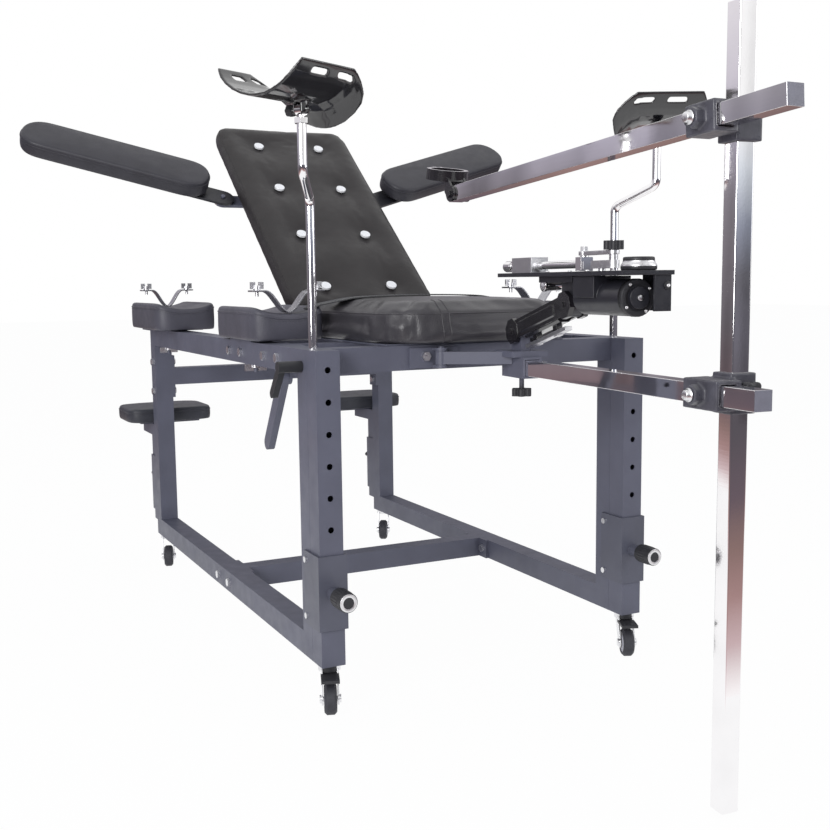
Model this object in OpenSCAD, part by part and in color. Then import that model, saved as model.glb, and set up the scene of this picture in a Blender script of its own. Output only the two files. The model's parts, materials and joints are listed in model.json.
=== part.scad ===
/* [Frame] */
// Centre distance between the left and right frame tubes
frame_w = 580; // [560:5:720]
// Depth from the front of the leg tubes to the back of the rear posts
frame_d = 1085; // [1000:5:1350]
// Height of the frame's top above the floor
frame_h = 575; // [540:5:700]
// Height of the frame's lower edge above the floor
base_h = 75; // [70:1:95]
// Outside width of the square frame tube
tube = 40; // [36:1:50]
// Wall of the square frame tube
tube_wall = 2; // [1.5:0.5:4]
// Thickness of the welded end plates and bolted flanges
plate_t = 6; // [4:1:10]
// Length of a bolted end flange
flange_l = 100; // [90:1:120]
// Bolt shank diameter
bolt_d = 8; // [6:1:10]
// Height of the rear cross bar's centre
rear_bar_z = 460; // [300:5:480]
// Distance of the floor cross bar from the front
floor_bar_y = 527; // [400:1:700]
// Distance of the first seat bar from the front
seat_bar_1 = 207; // [160:1:240]
// Distance of the second seat bar from the front
seat_bar_2 = 405; // [390:1:420]

/* [Telescopic legs] */
// Pitch of the holes in the leg tubes
hole_pitch = 50; // [40:1:60]
// Diameter of the holes in the leg tubes
hole_d = 10; // [10:0.5:12]
// Number of holes in each leg tube
hole_count = 9; // [6:1:9]
// Lower edge of the leg sleeve
sleeve_z = 135; // [125:1:150]
// Height of the leg sleeve
sleeve_h = 120; // [100:1:140]
// Sheet thickness of the leg sleeve
sleeve_t = 4; // [3:0.5:5]
// Diameter of the pull-pin knob
knob_d = 31; // [26:1:38]
// Length of the pull-pin knob
knob_l = 38; // [30:1:46]

/* [Casters] */
// Wheel diameter
wheel_d = 50; // [44:1:58]
// Wheel width
wheel_w = 20; // [16:1:24]
// Trail of the wheel behind the swivel axis
trail = 24; // [18:1:28]
// Swivel stem diameter
stem_d = 12; // [10:0.5:14]

/* [Seat and backrest] */
// Seat pad width
seat_w = 365; // [330:5:365]
// Seat pad depth
seat_l = 425; // [380:5:430]
// Seat pad thickness at its edge
seat_t = 62; // [45:1:75]
// Backrest pad width
back_w = 330; // [280:5:340]
// Backrest pad length
back_l = 660; // [560:5:720]
// Backrest pad thickness at its edge
back_t = 42; // [34:1:52]
// Angle of the backrest above level
back_angle = 39; // [30:1:50]
// Depth of the recline axle below the frame's top
axle_drop = 25; // [23:1:29]
// Distance of the recline axle from the front
axle_y = 465; // [460:1:475]
// Recline axle diameter
axle_d = 20; // [16:1:22]
// Spacing of the tuft columns
tuft_x = 148; // [120:1:170]
// Spacing of the tuft rows
tuft_y = 171; // [140:1:180]
// Depth of a tuft
tuft_depth = 11; // [5:1:14]
// Button diameter
button_d = 22; // [18:1:26]

/* [Arm boards] */
// Length of an arm board
arm_l = 410; // [360:5:460]
// Width of an arm board
arm_w = 100; // [84:1:110]
// Thickness of an arm board's pad
arm_t = 38; // [30:1:44]
// Upward angle of the arm boards in the backrest plane
arm_angle = 24; // [10:1:32]
// Distance of the arm pivot from the middle
arm_pivot_x = 185; // [184:1:200]
// Distance of the arm pivot from the recline axle
arm_pivot_v = 515; // [460:1:540]

/* [Limb and kneel pads] */
// Width of the limb pads
limb_w = 140; // [120:1:144]
// Length of the front limb pads
front_limb_l = 245; // [200:5:250]
// Length of the rear limb pads
rear_limb_l = 280; // [220:5:290]
// Edge height of the limb pads
limb_t = 62; // [50:1:75]
// Depth of the groove in the limb pads
limb_groove = 14; // [8:1:18]
// Radius of the front cradle bands
front_band_r = 42; // [36:1:44]
// Radius of the rear cradle bands
rear_band_r = 35; // [30:1:44]
// Depth of the cradle bands
band_h = 40; // [30:1:44]
// Width of the cradle bands
band_w = 28; // [20:1:34]
// Kneel pad width
kneel_w = 205; // [160:5:240]
// Kneel pad length
kneel_l = 155; // [120:5:190]
// Kneel pad thickness
kneel_t = 36; // [28:1:46]
// Height of the kneel pad's underside
kneel_z = 345; // [330:1:380]

/* [Leg supports] */
// Pole diameter
pole_d = 14; // [12:0.5:17]
// Height at which the pole starts to bend
pole_bend_z = 796; // [740:1:840]
// Bend angle of the pole
pole_bend = 67; // [45:1:70]
// Bend radius of the pole
pole_bend_r = 16; // [15:1:24]
// Straight run between the two bends
pole_run = 64; // [50:1:80]
// Straight length above the bends
pole_upper = 60; // [40:1:80]
// Direction of the bend, outward from straight ahead
pole_turn = 28; // [0:1:45]
// Length of a leg cup along its near wall
cup_l = 170; // [150:1:180]
// Radius of the cup's trough
cup_r = 86; // [78:1:94]
// Wrap of the cup's walls to each side of its floor
cup_wrap = 62; // [54:1:66]
// Shell thickness of the cup
cup_t = 4; // [3:0.5:6]
// Fall of the cup's floor at its seat end
cup_fall = 32; // [20:1:38]

/* [Mast and boom] */
// Outside width of the square bar, mast and boom
bar = 25; // [22:1:30]
// Length of the slide bar
bar_l = 615; // [500:5:700]
// Depth of the slide bar's centre below the frame's top
bar_drop = 35; // [31:1:39]
// Turn of the whole arm in plan
swing_turn = -4.5; // [-8:0.5:0]
// Height of the mast's top above the frame's top
mast_rise = 425; // [385:5:675]
// Height of the boom at the mast above the frame's top
boom_rise = 287; // [255:1:345]
// Length of the boom from the mast to its tip
boom_l = 626; // [500:1:640]
// Length of the boom behind the mast
boom_back = 124; // [100:1:160]
// Droop of the boom toward the seat
boom_droop = 3.7; // [0:0.1:6]
// Inner diameter of the boom's ring clamp
ring_d = 56; // [44:1:64]

/* [Drive unit] */
// Length of the lift arm between its pivots
lift_l = 172; // [150:1:190]
// Angle of the lift arm above level
lift_angle = 15; // [10:1:25]
// Length of the drive plate
drive_l = 364; // [356:1:380]
// Width of the drive plate
drive_w = 80; // [72:1:96]
// Motor diameter
motor_d = 50; // [42:1:52]
// Motor length
motor_l = 125; // [100:1:130]
// Throw of the crank
crank_r = 30; // [24:1:36]
// Room between the crank's end and the crosshead
link_clear = 2; // [1:0.5:6]
// Slide rod diameter
rod_d = 12; // [8:0.5:13]

/* [Clearances] */
// Radial clearance of a turning or sliding fit
fit = 0.05; // [0.02:0.01:0.1]
// Gap between sliding square tubes and beside moving faces
gap = 0.4; // [0.3:0.1:0.6]

/* [Hidden] */
$fn = 48;
cut = 1;
left = -1;
right = 1;

frame_black = [0.16, 0.16, 0.18];
pad_black = [0.10, 0.10, 0.11];
gloss_black = [0.05, 0.05, 0.06];
chrome = [0.78, 0.76, 0.77];
bright = [0.75, 0.75, 0.76];
cap_grey = [0.45, 0.45, 0.47];
button_white = [0.95, 0.95, 0.95];
tyre_black = [0.14, 0.14, 0.15];

// Places of the main tubes
x_side = frame_w / 2;
y_front = -frame_d / 2;
y_leg = y_front + tube / 2;
y_post = y_leg + tube + gap;
y_rear = frame_d / 2 - tube / 2;
z_rail = frame_h - tube / 2;
z_base = base_h + tube / 2;
inner_w = frame_w - tube;
bolt_r = bolt_d / 2;
bolt_clear = 0.2;
head_r = bolt_d;
head_h = bolt_d * 0.7;
flange_bolt = flange_l / 2 - 15;
screw_r = 2.5;
screw_head_r = 5;
screw_head_h = 3;
cap_t = 3;
bolt_past = 2;
star_r = 17;
star_h = 12;
knob_lobes = 6;
knob_lobe = 0.3;
knob_core = 0.78;
knob_boss = 8;
rest = 0.2;

// Pole socket and clamp lever in the front posts
pole_r = pole_d / 2;
socket_l = 60;
bend_step = 0.2;
bend_lap = 1;
pole_low = 140;
lever_z = frame_h - 27;
lever_hub_r = 9;
lever_hub_l = 40;
lever_arm = 58;
lever_at = 28;
lever_r = 7;
lever_t = 10;
lever_lean = 40;
stud_r = 4;

// Telescopic legs
first_hole = 30;
pin_r = hole_d / 2 - 0.5;
pin_z = sleeve_z + sleeve_h / 2;
boss_l = 22;
boss_r = 11;
sleeve_lap = 18;
sleeve_screw_z = 14;
sleeve_back = y_post - tube / 2 + sleeve_lap;
sleeve_screw_y = sleeve_back - 9;

// Casters: swivel angle of each at rest
caster_turn = [20, 24, 16, 30];
fork_gap = 1.5;
fork_t = 2.5;
crown_r = 18;
crown_t = 9;
stem_r = stem_d / 2;
axle_r = 4;
stem_past = 4;
fork_back = 14.4;
fork_fore = 9.9;
fork_r = 10;
rivet_r = 6.5;
rivet_h = 3;
tread = 4;
hub_sink = 2;
hub = wheel_d / 2 * [0.45, 0.5, 0.68, 0.72];
pedal_at = 10.8;
pedal_w = 29;
pedal_t = 5;
pedal_l = 40;
pedal_drop = 16;

// Recline lever under the left rail
rl_y = y_front + 200;
rl_z = frame_h - tube - 15;
rl_l = 172;
rl_w = 25;
rl_t = 12;
rl_lean = 34;
rl_lug_t = 5;
rl_pin_r = 5;

// Seat
pan_t = 3;
seat_y = y_front + 5 + seat_l / 2;
seat_z = frame_h + pan_t + rest;
seat_corner = 90;
seat_crown = 6;
soft_edge = 16;
soft_draw = 6;
soft_waist = 0.3;
pan_w = 340;
pan_front = y_post - tube / 2 + 4;
pan_back = y_front + seat_bar_2 + tube / 2;
strap_w = 45;
strap_t = 2.5;
strap_y = y_front + 282;
strap_x = 212;
strap_steps = 24;

// Recline axle and backrest, in the backrest's own frame: y up the back, z out of its face
axle_z = frame_h - axle_drop;
axle_at = [0, y_front + axle_y, axle_z];
lug_x = 120;
lug_t = 8;
axle_end = 4;
knuckle_l = 30;
knuckle_r = axle_d / 2 + 6;
rail_w = 25;
rail_lo = -12;
rail_hi = 8;
rail_l = 650;
panel_t = 4;
arm_bar_w = 36;
arm_bar_t = 8;
arm_pin_r = 5;
arm_pin_out = 4;
back_low = 75;
back_corner = 40;
panel_lo = back_low + 30;
panel_hi = rail_l - 30;
back_z = rail_hi + rest + 0.1;
back_crown = 6;
tuft_row_1 = 60;
tuft_sigma = 30;
button_h = 5;
button_rise = [3.9, 4.8, 4.8, 3.9];
bracket_t = 6;
bracket_w = 50;
bracket_l = 300;
arm_rise = 2;
arm_boss_r = 14;
arm_lo = 3;
arm_start = 36;
spacer = 40;
spacer_x = 80;
arm_corner = arm_w * 0.46;
arm_crown = 3;

// Limb pads and cradles
front_limb_x = x_side - 34;
rear_limb_x = x_side - 2;
front_limb_y = y_front + 495 - front_limb_l / 2;
rear_limb_y = y_front + frame_d + 12.5 - rear_limb_l / 2;
limb_bolt_y = [y_front + 350, y_front + frame_d - 95];
limb_y = [front_limb_y, rear_limb_y];
limb_x = [front_limb_x, rear_limb_x];
limb_l = [front_limb_l, rear_limb_l];
band_r = [front_band_r, rear_band_r];
band_y = [front_limb_y - 102, rear_limb_y + 40];
limb_z = frame_h + pan_t + rest;
band_t = 3;
band_flange = 24;
band_z = limb_z + limb_t - limb_groove + gap;
limb_corner = 24;
limb_plate = [limb_w - 30, 120, pan_t];
wing_r = 3;
wing_nut_h = 8;
wing_tall = 12;

// Kneel supports behind the rear posts
kneel_wall = 2.5;
kneel_out = 40;
kneel_in = kneel_out - 2 * kneel_wall - 2 * gap;
kneel_y = y_rear + tube / 2 + kneel_out / 2;
kneel_sleeve_z = 130;
kneel_sleeve_h = 135;
kneel_knob_z = 85;
kneel_low = 105;
kneel_arm_h = 28;
kneel_plate_t = 4;
kneel_plate = [kneel_w - 60, kneel_l - 40, kneel_plate_t];
kneel_corner = 26;
kneel_crown = 5;
kneel_pad_x = x_side - 28;
kneel_pad_y = y_rear + tube / 2 + 10 + kneel_l / 2;
kneel_arm_z = kneel_z - kneel_plate_t - kneel_arm_h;

// Swing arm, slide bar, mast and boom
hinge_pin = [-81, y_post - tube / 2 - 17];
hinge_plate_t = 5;
hinge_r = 10;
inset = 1;
stud_l = 20;
hinge_pin_r = 5;
hinge_lo = z_rail - 17;
hinge_hi = z_rail + 16;
hinge_lug_t = 5;
link_sink = 4;
hinge_plate_x = [-132, -44];
hinge_bolt_x = [-104, -57];
hinge_bolt_z = z_rail + 2;
bar_z = frame_h - bar_drop;
sleeve_at = [28, y_front - 48, bar_z];
bar_wall = 1.5;
bar_hole = bar + 2 * gap;
arm_sleeve_w = bar_hole + 8;
arm_sleeve_l = 74;
bar_start = 33;
end_cap = 6;
base_plate = [64, 60, 9.5];
lift_y = 3;
lift_z = bar_z + 57;
lift_ear = 18;
lift_ear_r = 18;
lift_pin_r = 5;
mast_y = -494;
clamp_wall = 5.5;
clamp_w = bar_hole + 2 * clamp_wall;
clamp_l = 50;
bar_sleeve = 66;
web_w = 30;
hex_r = 13;
hex_h = 15;
mast_x = bar_hole + clamp_wall + 1;
mast_low = 6;
mast_at = [sleeve_at[0] + mast_x * cos(swing_turn) - mast_y * sin(swing_turn),
    sleeve_at[1] + mast_x * sin(swing_turn) + mast_y * cos(swing_turn)];
boom_side = bar_hole + clamp_wall + 12;
boom_z = frame_h + boom_rise;
mast_top = frame_h + mast_rise;
boom_at = [mast_at[0] - boom_side, mast_at[1], boom_z];
ring_pin = 12;
ring_pin_r = 4;
ring_wall = 7;
ring_h = 18;
ring_reach = [37, 37];
cheek_aim = [26, 34];
neck_far = 34;
neck_w = 22;
ring_nut = 4;
ring_nut_r = 7;
ring_ear = [20, 14, ring_h];
ring_split = 3;
ring_tilt = 15;
cheek_t = 4;
cheek_r = 13;

// Drive unit, in the arm's frame: y along the slide bar, zero at its sleeve
lift_top = [lift_y - lift_l * cos(lift_angle), lift_z + lift_l * sin(lift_angle)];
lift_cheek_t = 8;
lift_cheek_r = 21;
lift_body_r = 20;
lift_body_at = lift_ear_r + 12;
lift_web = 30;
lift_pin_out = 3;
octagon = 22.5;
strip_w = 12;
strip_l = 130;
strip_t = 6;
strip_drop = 10;
drive_z = lift_top[1] + 42;
drive_t = 6;
drive_back = 6;
channel_w = 44;
channel_h = 9;
channel_l = 99;
sheet_t = 4;
shield_w = 26;
shield_side = drive_w / 2 - 2;
shield_l = 62;
shield_h = 48;
motor_y = lift_top[0] - 42;
motor_z = drive_z - motor_d / 2 - 5;
motor_nose_r = motor_d * 0.3;
motor_nose = 8;
gear_l = 56;
gear_w = 60;
gear_h = motor_d / 2 + 4.5;
crank_y = -242;
crank_end_r = 8;
shaft_r = 5;
crank_z = drive_z + drive_t + 4;
crank_t = 11;
crank_pin_r = 4;
crank_collar_r = 6;
crank_knob_r = 15;
crank_tail = 14;
shaft_z = motor_z + 12;
rod_z = drive_z + drive_t + 11;
cross_h = 20;
cross_l = 16;
cross_cap = 1.6;
link_l = 2 * crank_r + crank_end_r + cross_l / 2 + link_clear;
cross_y = crank_y - crank_r + link_l;
link_z = rod_z + cross_h / 2 + cross_cap + gap;
link_t = 6;
link_w = 10;
link_r = 8;
link_bolt_r = 6;
link_bolt_h = 7;
block_y = [5, -60];
block_w = 30;
block_h = 24;
rod_end = 50;
coupler_r = 9;
coupler_l = 22;
block_lip = 8;
block_lip_r = rod_d * 0.8;
controller_y = -311;
controller_l = 46;
controller_w = 44;
controller_h = 18;
controller_r = 18;

// Leg cups: rows along the trough and across it, closer where the strap slots are
cup_turn = 26;
cup_fore = 72;
cup_side = 10;
cup_slant = [20, 68];
cup_corner = [8, 50];
cup_crest = 0.65;
cup_shoulder = 0.6;
cup_along = [0, 0.08, 0.16, 0.235, 0.345, 0.455, 0.54, 0.62, 0.73, 0.84, 0.92, 1];
cup_half = [0.16, 0.33, 0.5, 0.66, 0.79, 0.89, 0.95, 1];
cup_across = concat([for (i = [len(cup_half) - 1:-1:0]) -cup_half[i]], [0], cup_half);
cup_slot_rows = [3, 4, 7, 8];
cup_slot_cols = [2, 13];
cup_pivot = 20;
cup_pin_r = 4;
cup_eye_r = 9;
cup_eye_w = 12;
cup_socket_r = 12;
cup_seat = 11;
cup_skirt = 7;
cup_roof = 1.6;
cup_root = 2.5;
cup_pin_out = 3;
cup_knob_r = 9.5;
nut_h = 8;
nut_r = 11.2;
neck_r = cup_eye_w / 2 - 1;
neck_sink = 2;
pole_step = 2 * pole_bend_r * (1 - cos(pole_bend)) + pole_run * sin(pole_bend);
pole_rise = 2 * pole_bend_r * sin(pole_bend) + pole_run * cos(pole_bend);
pole_top = pole_bend_z + pole_rise + pole_upper;

// Square tube standing on z = 0, closed or open at its ends
module square_tube(size, wall, length) {
    difference() {
        translate([-size / 2, -size / 2, 0]) cube([size, size, length]);
        translate([-size / 2 + wall, -size / 2 + wall, -cut])
            cube([size - 2 * wall, size - 2 * wall, length + 2 * cut]);
    }
}

module block(size) {
    translate(-size / 2) cube(size);
}

module along_x() {
    rotate([0, 90, 0]) children();
}

module along_y() {
    rotate([-90, 0, 0]) children();
}

module mirror_left(side) {
    mirror([side < 0 ? 1 : 0, 0, 0]) children();
}

module star_knob(r, h) {
    cylinder(r = r * knob_core, h = h);
    for (i = [1:knob_lobes]) rotate(360 * i / knob_lobes) translate([r * (1 - knob_lobe), 0, 0])
        cylinder(r = r * knob_lobe, h = h, $fn = 24);
}

// Soft pads: rows across the pad, spaced closer at the edges, over a flat underside
function spread(n) = [for (i = [0:n]) sin(180 * i / n - 90)];
function row_half(y, hw, hl, r) =
    abs(y) <= hl - r ? hw : hw - r + sqrt(max(0, r * r - pow(abs(y) - hl + r, 2)));
function edge_drop(d, e) = d >= e ? 0 : e * (1 - sqrt(max(0, 1 - pow(1 - d / e, 2))));
function tuft_sum(x, y, tufts, i = 0) = i >= len(tufts) ? 0
    : exp(-(pow(x - tufts[i][0], 2) + pow(y - tufts[i][1], 2)) / (tuft_sigma * tuft_sigma))
        + tuft_sum(x, y, tufts, i + 1);
function pad_top(x, y, hw, hl, t, crown, groove) =
    t + crown * (1 - pow(x / hw, 2)) * (1 - pow(y / hl, 2)) - groove * (1 - pow(x / hw, 2));
function ring_index(nx, ny) = concat(
    [for (i = [0:nx]) i], [for (j = [1:ny]) j * (nx + 1) + nx],
    [for (i = [nx - 1:-1:0]) ny * (nx + 1) + i], [for (j = [ny - 1:-1:1]) j * (nx + 1)]);

module pad(w, l, r, t, crown = 0, groove = 0, tufts = [], nx = 10, ny = 12) {
    hw = w / 2;
    hl = l / 2;
    us = spread(nx);
    top = [for (v = spread(ny)) let (y = v * hl, half = row_half(y, hw, hl, r)) for (u = us)
        let (x = u * half, d = min(half - abs(x), hl - abs(y)))
        [x, y, pad_top(x, y, hw, hl, t, crown, groove)
            - tuft_depth * tuft_sum(x, y, tufts) - edge_drop(d, soft_edge)]];
    rim = ring_index(nx, ny);
    n = len(rim);
    a = len(top);
    waist = [for (k = rim) [top[k][0], top[k][1], t * soft_waist]];
    foot = [for (k = rim) [top[k][0] * (1 - soft_draw / hw), top[k][1] * (1 - soft_draw / hl), 0]];
    faces = concat(
        [for (j = [0:ny - 1]) for (i = [0:nx - 1]) let (p = j * (nx + 1) + i, q = p + nx + 1)
            each [[p, q, q + 1], [p, q + 1, p + 1]]],
        [for (k = [0:n - 1]) let (m = (k + 1) % n)
            each [[rim[k], rim[m], a + m], [rim[k], a + m, a + k],
                [a + k, a + m, a + n + m], [a + k, a + n + m, a + n + k],
                [a + n + k, a + n + m, a + 2 * n]]]);
    polyhedron(concat(top, waist, foot, [[0, 0, 0]]), faces);
}

// Side frames with the pole socket, caster bore and bolt holes
module tube_box(y0, y1, z0, z1, inset) {
    translate([-tube / 2 + inset, y0, z0]) cube([tube - 2 * inset, y1 - y0, z1 - z0]);
}

module bolt_holes_x(y, z) {
    translate([-tube / 2 - cut, y, z]) along_x() cylinder(r = bolt_r + bolt_clear, h = tube + 2 * cut);
}

module side_frame(side) {
    post_y = [y_post, y_rear];
    inner_lo = base_h + plate_t;
    color(frame_black) translate([side * x_side, 0, 0]) mirror_left(side) difference() {
        union() {
            for (y = post_y) tube_box(y - tube / 2, y + tube / 2, base_h, frame_h, 0);
            tube_box(y_post + tube / 2, y_rear - tube / 2, frame_h - tube, frame_h, 0);
            tube_box(y_post + tube / 2, y_rear - tube / 2, base_h, base_h + tube, 0);
            if (side < 0) recline_clevis();
        }
        tube_box(y_post - tube / 2 + tube_wall, y_post + tube / 2 - tube_wall, inner_lo,
            frame_h - socket_l, tube_wall);
        tube_box(y_rear - tube / 2 + tube_wall, y_rear + tube / 2 - tube_wall, inner_lo,
            frame_h - cap_t, tube_wall);
        for (z = [frame_h - tube, base_h])
            tube_box(y_post + tube / 2, y_rear - tube / 2, z + tube_wall, z + tube - tube_wall, tube_wall);
        translate([0, y_post, frame_h - socket_l - cut]) cylinder(r = pole_r + fit, h = socket_l + 2 * cut);
        translate([0, y_post, lever_z]) along_x() cylinder(r = stud_r + fit, h = tube);
        translate([0, y_rear, base_h - cut]) cylinder(r = stem_r + fit, h = plate_t + 2 * cut);
        for (y = [seat_bar_1, seat_bar_2]) for (d = [-flange_bolt, flange_bolt])
            bolt_holes_x(y_front + y + d, z_rail);
        for (d = [-flange_bolt, flange_bolt]) {
            bolt_holes_x(y_rear, rear_bar_z + d);
            bolt_holes_x(y_front + floor_bar_y + d, z_base);
        }
        for (y = limb_bolt_y) translate([0, y, frame_h - tube - cut])
            cylinder(r = bolt_r + bolt_clear, h = tube + 2 * cut);
        for (z = [sleeve_screw_z, sleeve_h - sleeve_screw_z])
            translate([-tube / 2 - cut, sleeve_screw_y, sleeve_z + z]) along_x()
                cylinder(r = screw_r + bolt_clear, h = tube + 2 * cut);
    }
}

module recline_clevis() {
    lug_x = rl_t / 2 + gap;
    for (s = [-1, 1]) translate([s * (lug_x + rl_lug_t / 2), rl_y, 0]) {
        translate([-rl_lug_t / 2, -rl_w / 2, rl_z]) cube([rl_lug_t, rl_w, frame_h - tube - rl_z]);
        translate([-rl_lug_t / 2, 0, rl_z]) along_x() cylinder(r = rl_w / 2, h = rl_lug_t);
    }
    translate([-lug_x - rl_lug_t, rl_y, rl_z]) along_x()
        cylinder(r = rl_pin_r, h = 2 * (lug_x + rl_lug_t));
}

module left_side_frame() { side_frame(left); }
module right_side_frame() { side_frame(right); }

// Cross bar between the side frames, with bolted flanges that lie along y or stand along z
module flanged_bar(y, z, upright) {
    size = upright ? [plate_t, tube, flange_l] : [plate_t, flange_l, tube];
    bolt_step = upright ? [0, 0, flange_bolt] : [0, flange_bolt, 0];
    length = inner_w - 2 * plate_t;
    translate([0, y, z]) {
        translate([-length / 2, 0, 0]) along_x() square_tube(tube, tube_wall, length);
        for (s = [-1, 1]) translate([s * (inner_w / 2 - plate_t / 2), 0, 0]) difference() {
            block(size);
            for (d = [-1, 1]) translate(d * bolt_step - [plate_t, 0, 0]) along_x()
                cylinder(r = bolt_r + bolt_clear, h = 2 * plate_t);
        }
    }
}

module cross_bars() {
    color(frame_black) {
        difference() {
            translate([-inner_w / 2, y_post, z_rail]) along_x() square_tube(tube, tube_wall, inner_w);
            for (x = hinge_bolt_x) translate([x, y_post - tube / 2 - cut, hinge_bolt_z]) along_y()
                cylinder(r = bolt_r + bolt_clear, h = tube_wall + 2 * cut);
        }
        flanged_bar(y_rear, rear_bar_z, true);
        flanged_bar(y_front + floor_bar_y, z_base, false);
    }
}

module seat_bars() {
    bar_back = y_front + seat_bar_2 + tube / 2;
    color(frame_black) {
        flanged_bar(y_front + seat_bar_1, z_rail, false);
        difference() {
            union() {
                flanged_bar(y_front + seat_bar_2, z_rail, false);
                for (s = [-1, 1]) translate([s * (lug_x + knuckle_l / 2 + gap + lug_t / 2), 0, 0]) {
                    translate([-lug_t / 2, bar_back, axle_z - knuckle_r])
                        cube([lug_t, axle_at[1] - bar_back, 2 * knuckle_r]);
                    translate([-lug_t / 2, axle_at[1], axle_z]) along_x() cylinder(r = knuckle_r, h = lug_t);
                }
            }
            translate(axle_at - [inner_w / 2, 0, 0]) along_x() cylinder(r = axle_d / 2 + fit, h = inner_w);
        }
    }
}

module recline_axle() {
    length = 2 * (lug_x + knuckle_l / 2 + gap + lug_t + axle_end);
    color(chrome) translate(axle_at - [length / 2, 0, 0]) along_x() cylinder(r = axle_d / 2, h = length);
}

// Sheet sleeves that wrap each leg tube and its post
module leg_sleeves() {
    in_w = tube + 2 * gap;
    front = y_leg - tube / 2 - gap;
    color(frame_black) for (s = [-1, 1]) translate([s * x_side, 0, 0]) difference() {
        union() {
            translate([-in_w / 2 - sleeve_t, front - sleeve_t, sleeve_z])
                cube([in_w + 2 * sleeve_t, sleeve_back - front + sleeve_t, sleeve_h]);
            translate([0, front - sleeve_t - boss_l, pin_z]) along_y()
                cylinder(r = boss_r, h = boss_l + cut);
        }
        translate([-in_w / 2, front, sleeve_z - cut])
            cube([in_w, sleeve_back - front + cut, sleeve_h + 2 * cut]);
        translate([0, front - sleeve_t - boss_l - cut, pin_z]) along_y()
            cylinder(r = pin_r + fit, h = boss_l + sleeve_t + 2 * cut);
        for (z = [sleeve_screw_z, sleeve_h - sleeve_screw_z])
            translate([-in_w, sleeve_screw_y, sleeve_z + z]) along_x()
                cylinder(r = screw_r + bolt_clear, h = 2 * in_w);
    }
}

// Bolts, screws and wing nuts
module frame_bolt(side, y, z) {
    translate([side * (x_side + tube / 2), y, z]) mirror_left(side) rotate([0, -90, 0]) {
        translate([0, 0, -head_h]) cylinder(r = head_r, h = head_h, $fn = 6);
        cylinder(r = bolt_r, h = tube + plate_t + head_h);
        translate([0, 0, tube + plate_t]) cylinder(r = head_r, h = head_h, $fn = 6);
    }
}

module wing_nut(bore_r) {
    difference() {
        union() {
            cylinder(r = bore_r * 2, h = wing_nut_h);
            for (s = [-1, 1]) translate([s * bore_r * 3, 0, wing_nut_h])
                block([bore_r * 4, bore_r, wing_tall]);
        }
        translate([0, 0, -cut]) cylinder(r = bore_r, h = wing_nut_h * 2 + 2 * cut);
    }
}

module wing_screw() {
    translate([0, 0, -band_t - wing_nut_h]) cylinder(r = wing_r, h = band_t + wing_nut_h);
    cylinder(r = wing_r * 2, h = wing_nut_h);
    for (s = [-1, 1]) translate([s * wing_r * 2.5, 0, wing_nut_h]) block([wing_r * 3, wing_r, wing_tall]);
}

module fasteners() {
    sleeve_x = tube / 2 + gap + sleeve_t;
    color(chrome) for (s = [-1, 1]) {
        for (y = [seat_bar_1, seat_bar_2]) for (d = [-flange_bolt, flange_bolt])
            frame_bolt(s, y_front + y + d, z_rail);
        for (d = [-flange_bolt, flange_bolt]) {
            frame_bolt(s, y_rear, rear_bar_z + d);
            frame_bolt(s, y_front + floor_bar_y + d, z_base);
        }
        for (z = [sleeve_screw_z, sleeve_h - sleeve_screw_z]) for (e = [-1, 1])
            translate([s * x_side + e * sleeve_x, sleeve_screw_y, sleeve_z + z]) mirror_left(e) along_x() {
                cylinder(r = screw_head_r, h = screw_head_h);
                mirror([0, 0, 1]) cylinder(r = screw_r, h = sleeve_t + gap + tube_wall);
            }
        for (i = [0, 1]) {
            translate([s * x_side, limb_bolt_y[i], frame_h - tube]) mirror([0, 0, 1]) wing_nut(bolt_r + fit);
            for (e = [-1, 1]) translate([s * limb_x[i] + e * (band_r[i] + band_flange / 2), band_y[i],
                band_z + band_h]) wing_screw();
        }
    }
    color(chrome) for (x = hinge_bolt_x)
        translate([x, y_post - tube / 2 - hinge_plate_t, hinge_bolt_z]) along_y() {
            translate([0, 0, -head_h]) cylinder(r = head_r, h = head_h, $fn = 6);
            cylinder(r = bolt_r, h = hinge_plate_t + tube_wall + bolt_past);
        }
}

// Seat
module seat_pan() {
    color(frame_black) translate([-pan_w / 2, pan_front, frame_h])
        cube([pan_w, pan_back - pan_front, pan_t]);
}

module seat_pad() {
    color(pad_black) translate([0, seat_y, seat_z])
        pad(seat_w, seat_l, seat_corner, seat_t, seat_crown, nx = 16, ny = 14);
}

function strap_height(x) = seat_z + gap
    + pad_top(min(abs(x), seat_w / 2), strap_y - seat_y, seat_w / 2, seat_l / 2, seat_t, seat_crown, 0);

module seat_strap() {
    xs = [for (i = [0:strap_steps]) -strap_x + 2 * strap_x * i / strap_steps];
    under = [for (x = xs) [x, strap_height(x)]];
    over = [for (i = [strap_steps:-1:0]) [xs[i], strap_height(xs[i]) + strap_t]];
    color(pad_black) translate([0, strap_y + strap_w / 2, 0]) rotate([90, 0, 0])
        linear_extrude(strap_w) polygon(concat(under, over));
}

// Grooved limb pads, their plates and the cradle bands
module limb_pads() {
    color(pad_black) for (s = [-1, 1]) for (i = [0, 1]) translate([s * limb_x[i], limb_y[i], limb_z])
        pad(limb_w, limb_l[i], limb_corner, limb_t, groove = limb_groove, nx = 10, ny = 8);
}

module limb_pad_plates() {
    color(frame_black) for (s = [-1, 1]) for (i = [0, 1]) {
        translate([s * limb_x[i], limb_y[i], frame_h + pan_t / 2]) block(limb_plate);
        translate([s * x_side, limb_bolt_y[i], frame_h - tube - 2 * wing_nut_h])
            cylinder(r = bolt_r, h = tube + 2 * wing_nut_h + pan_t / 2);
    }
}

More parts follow.
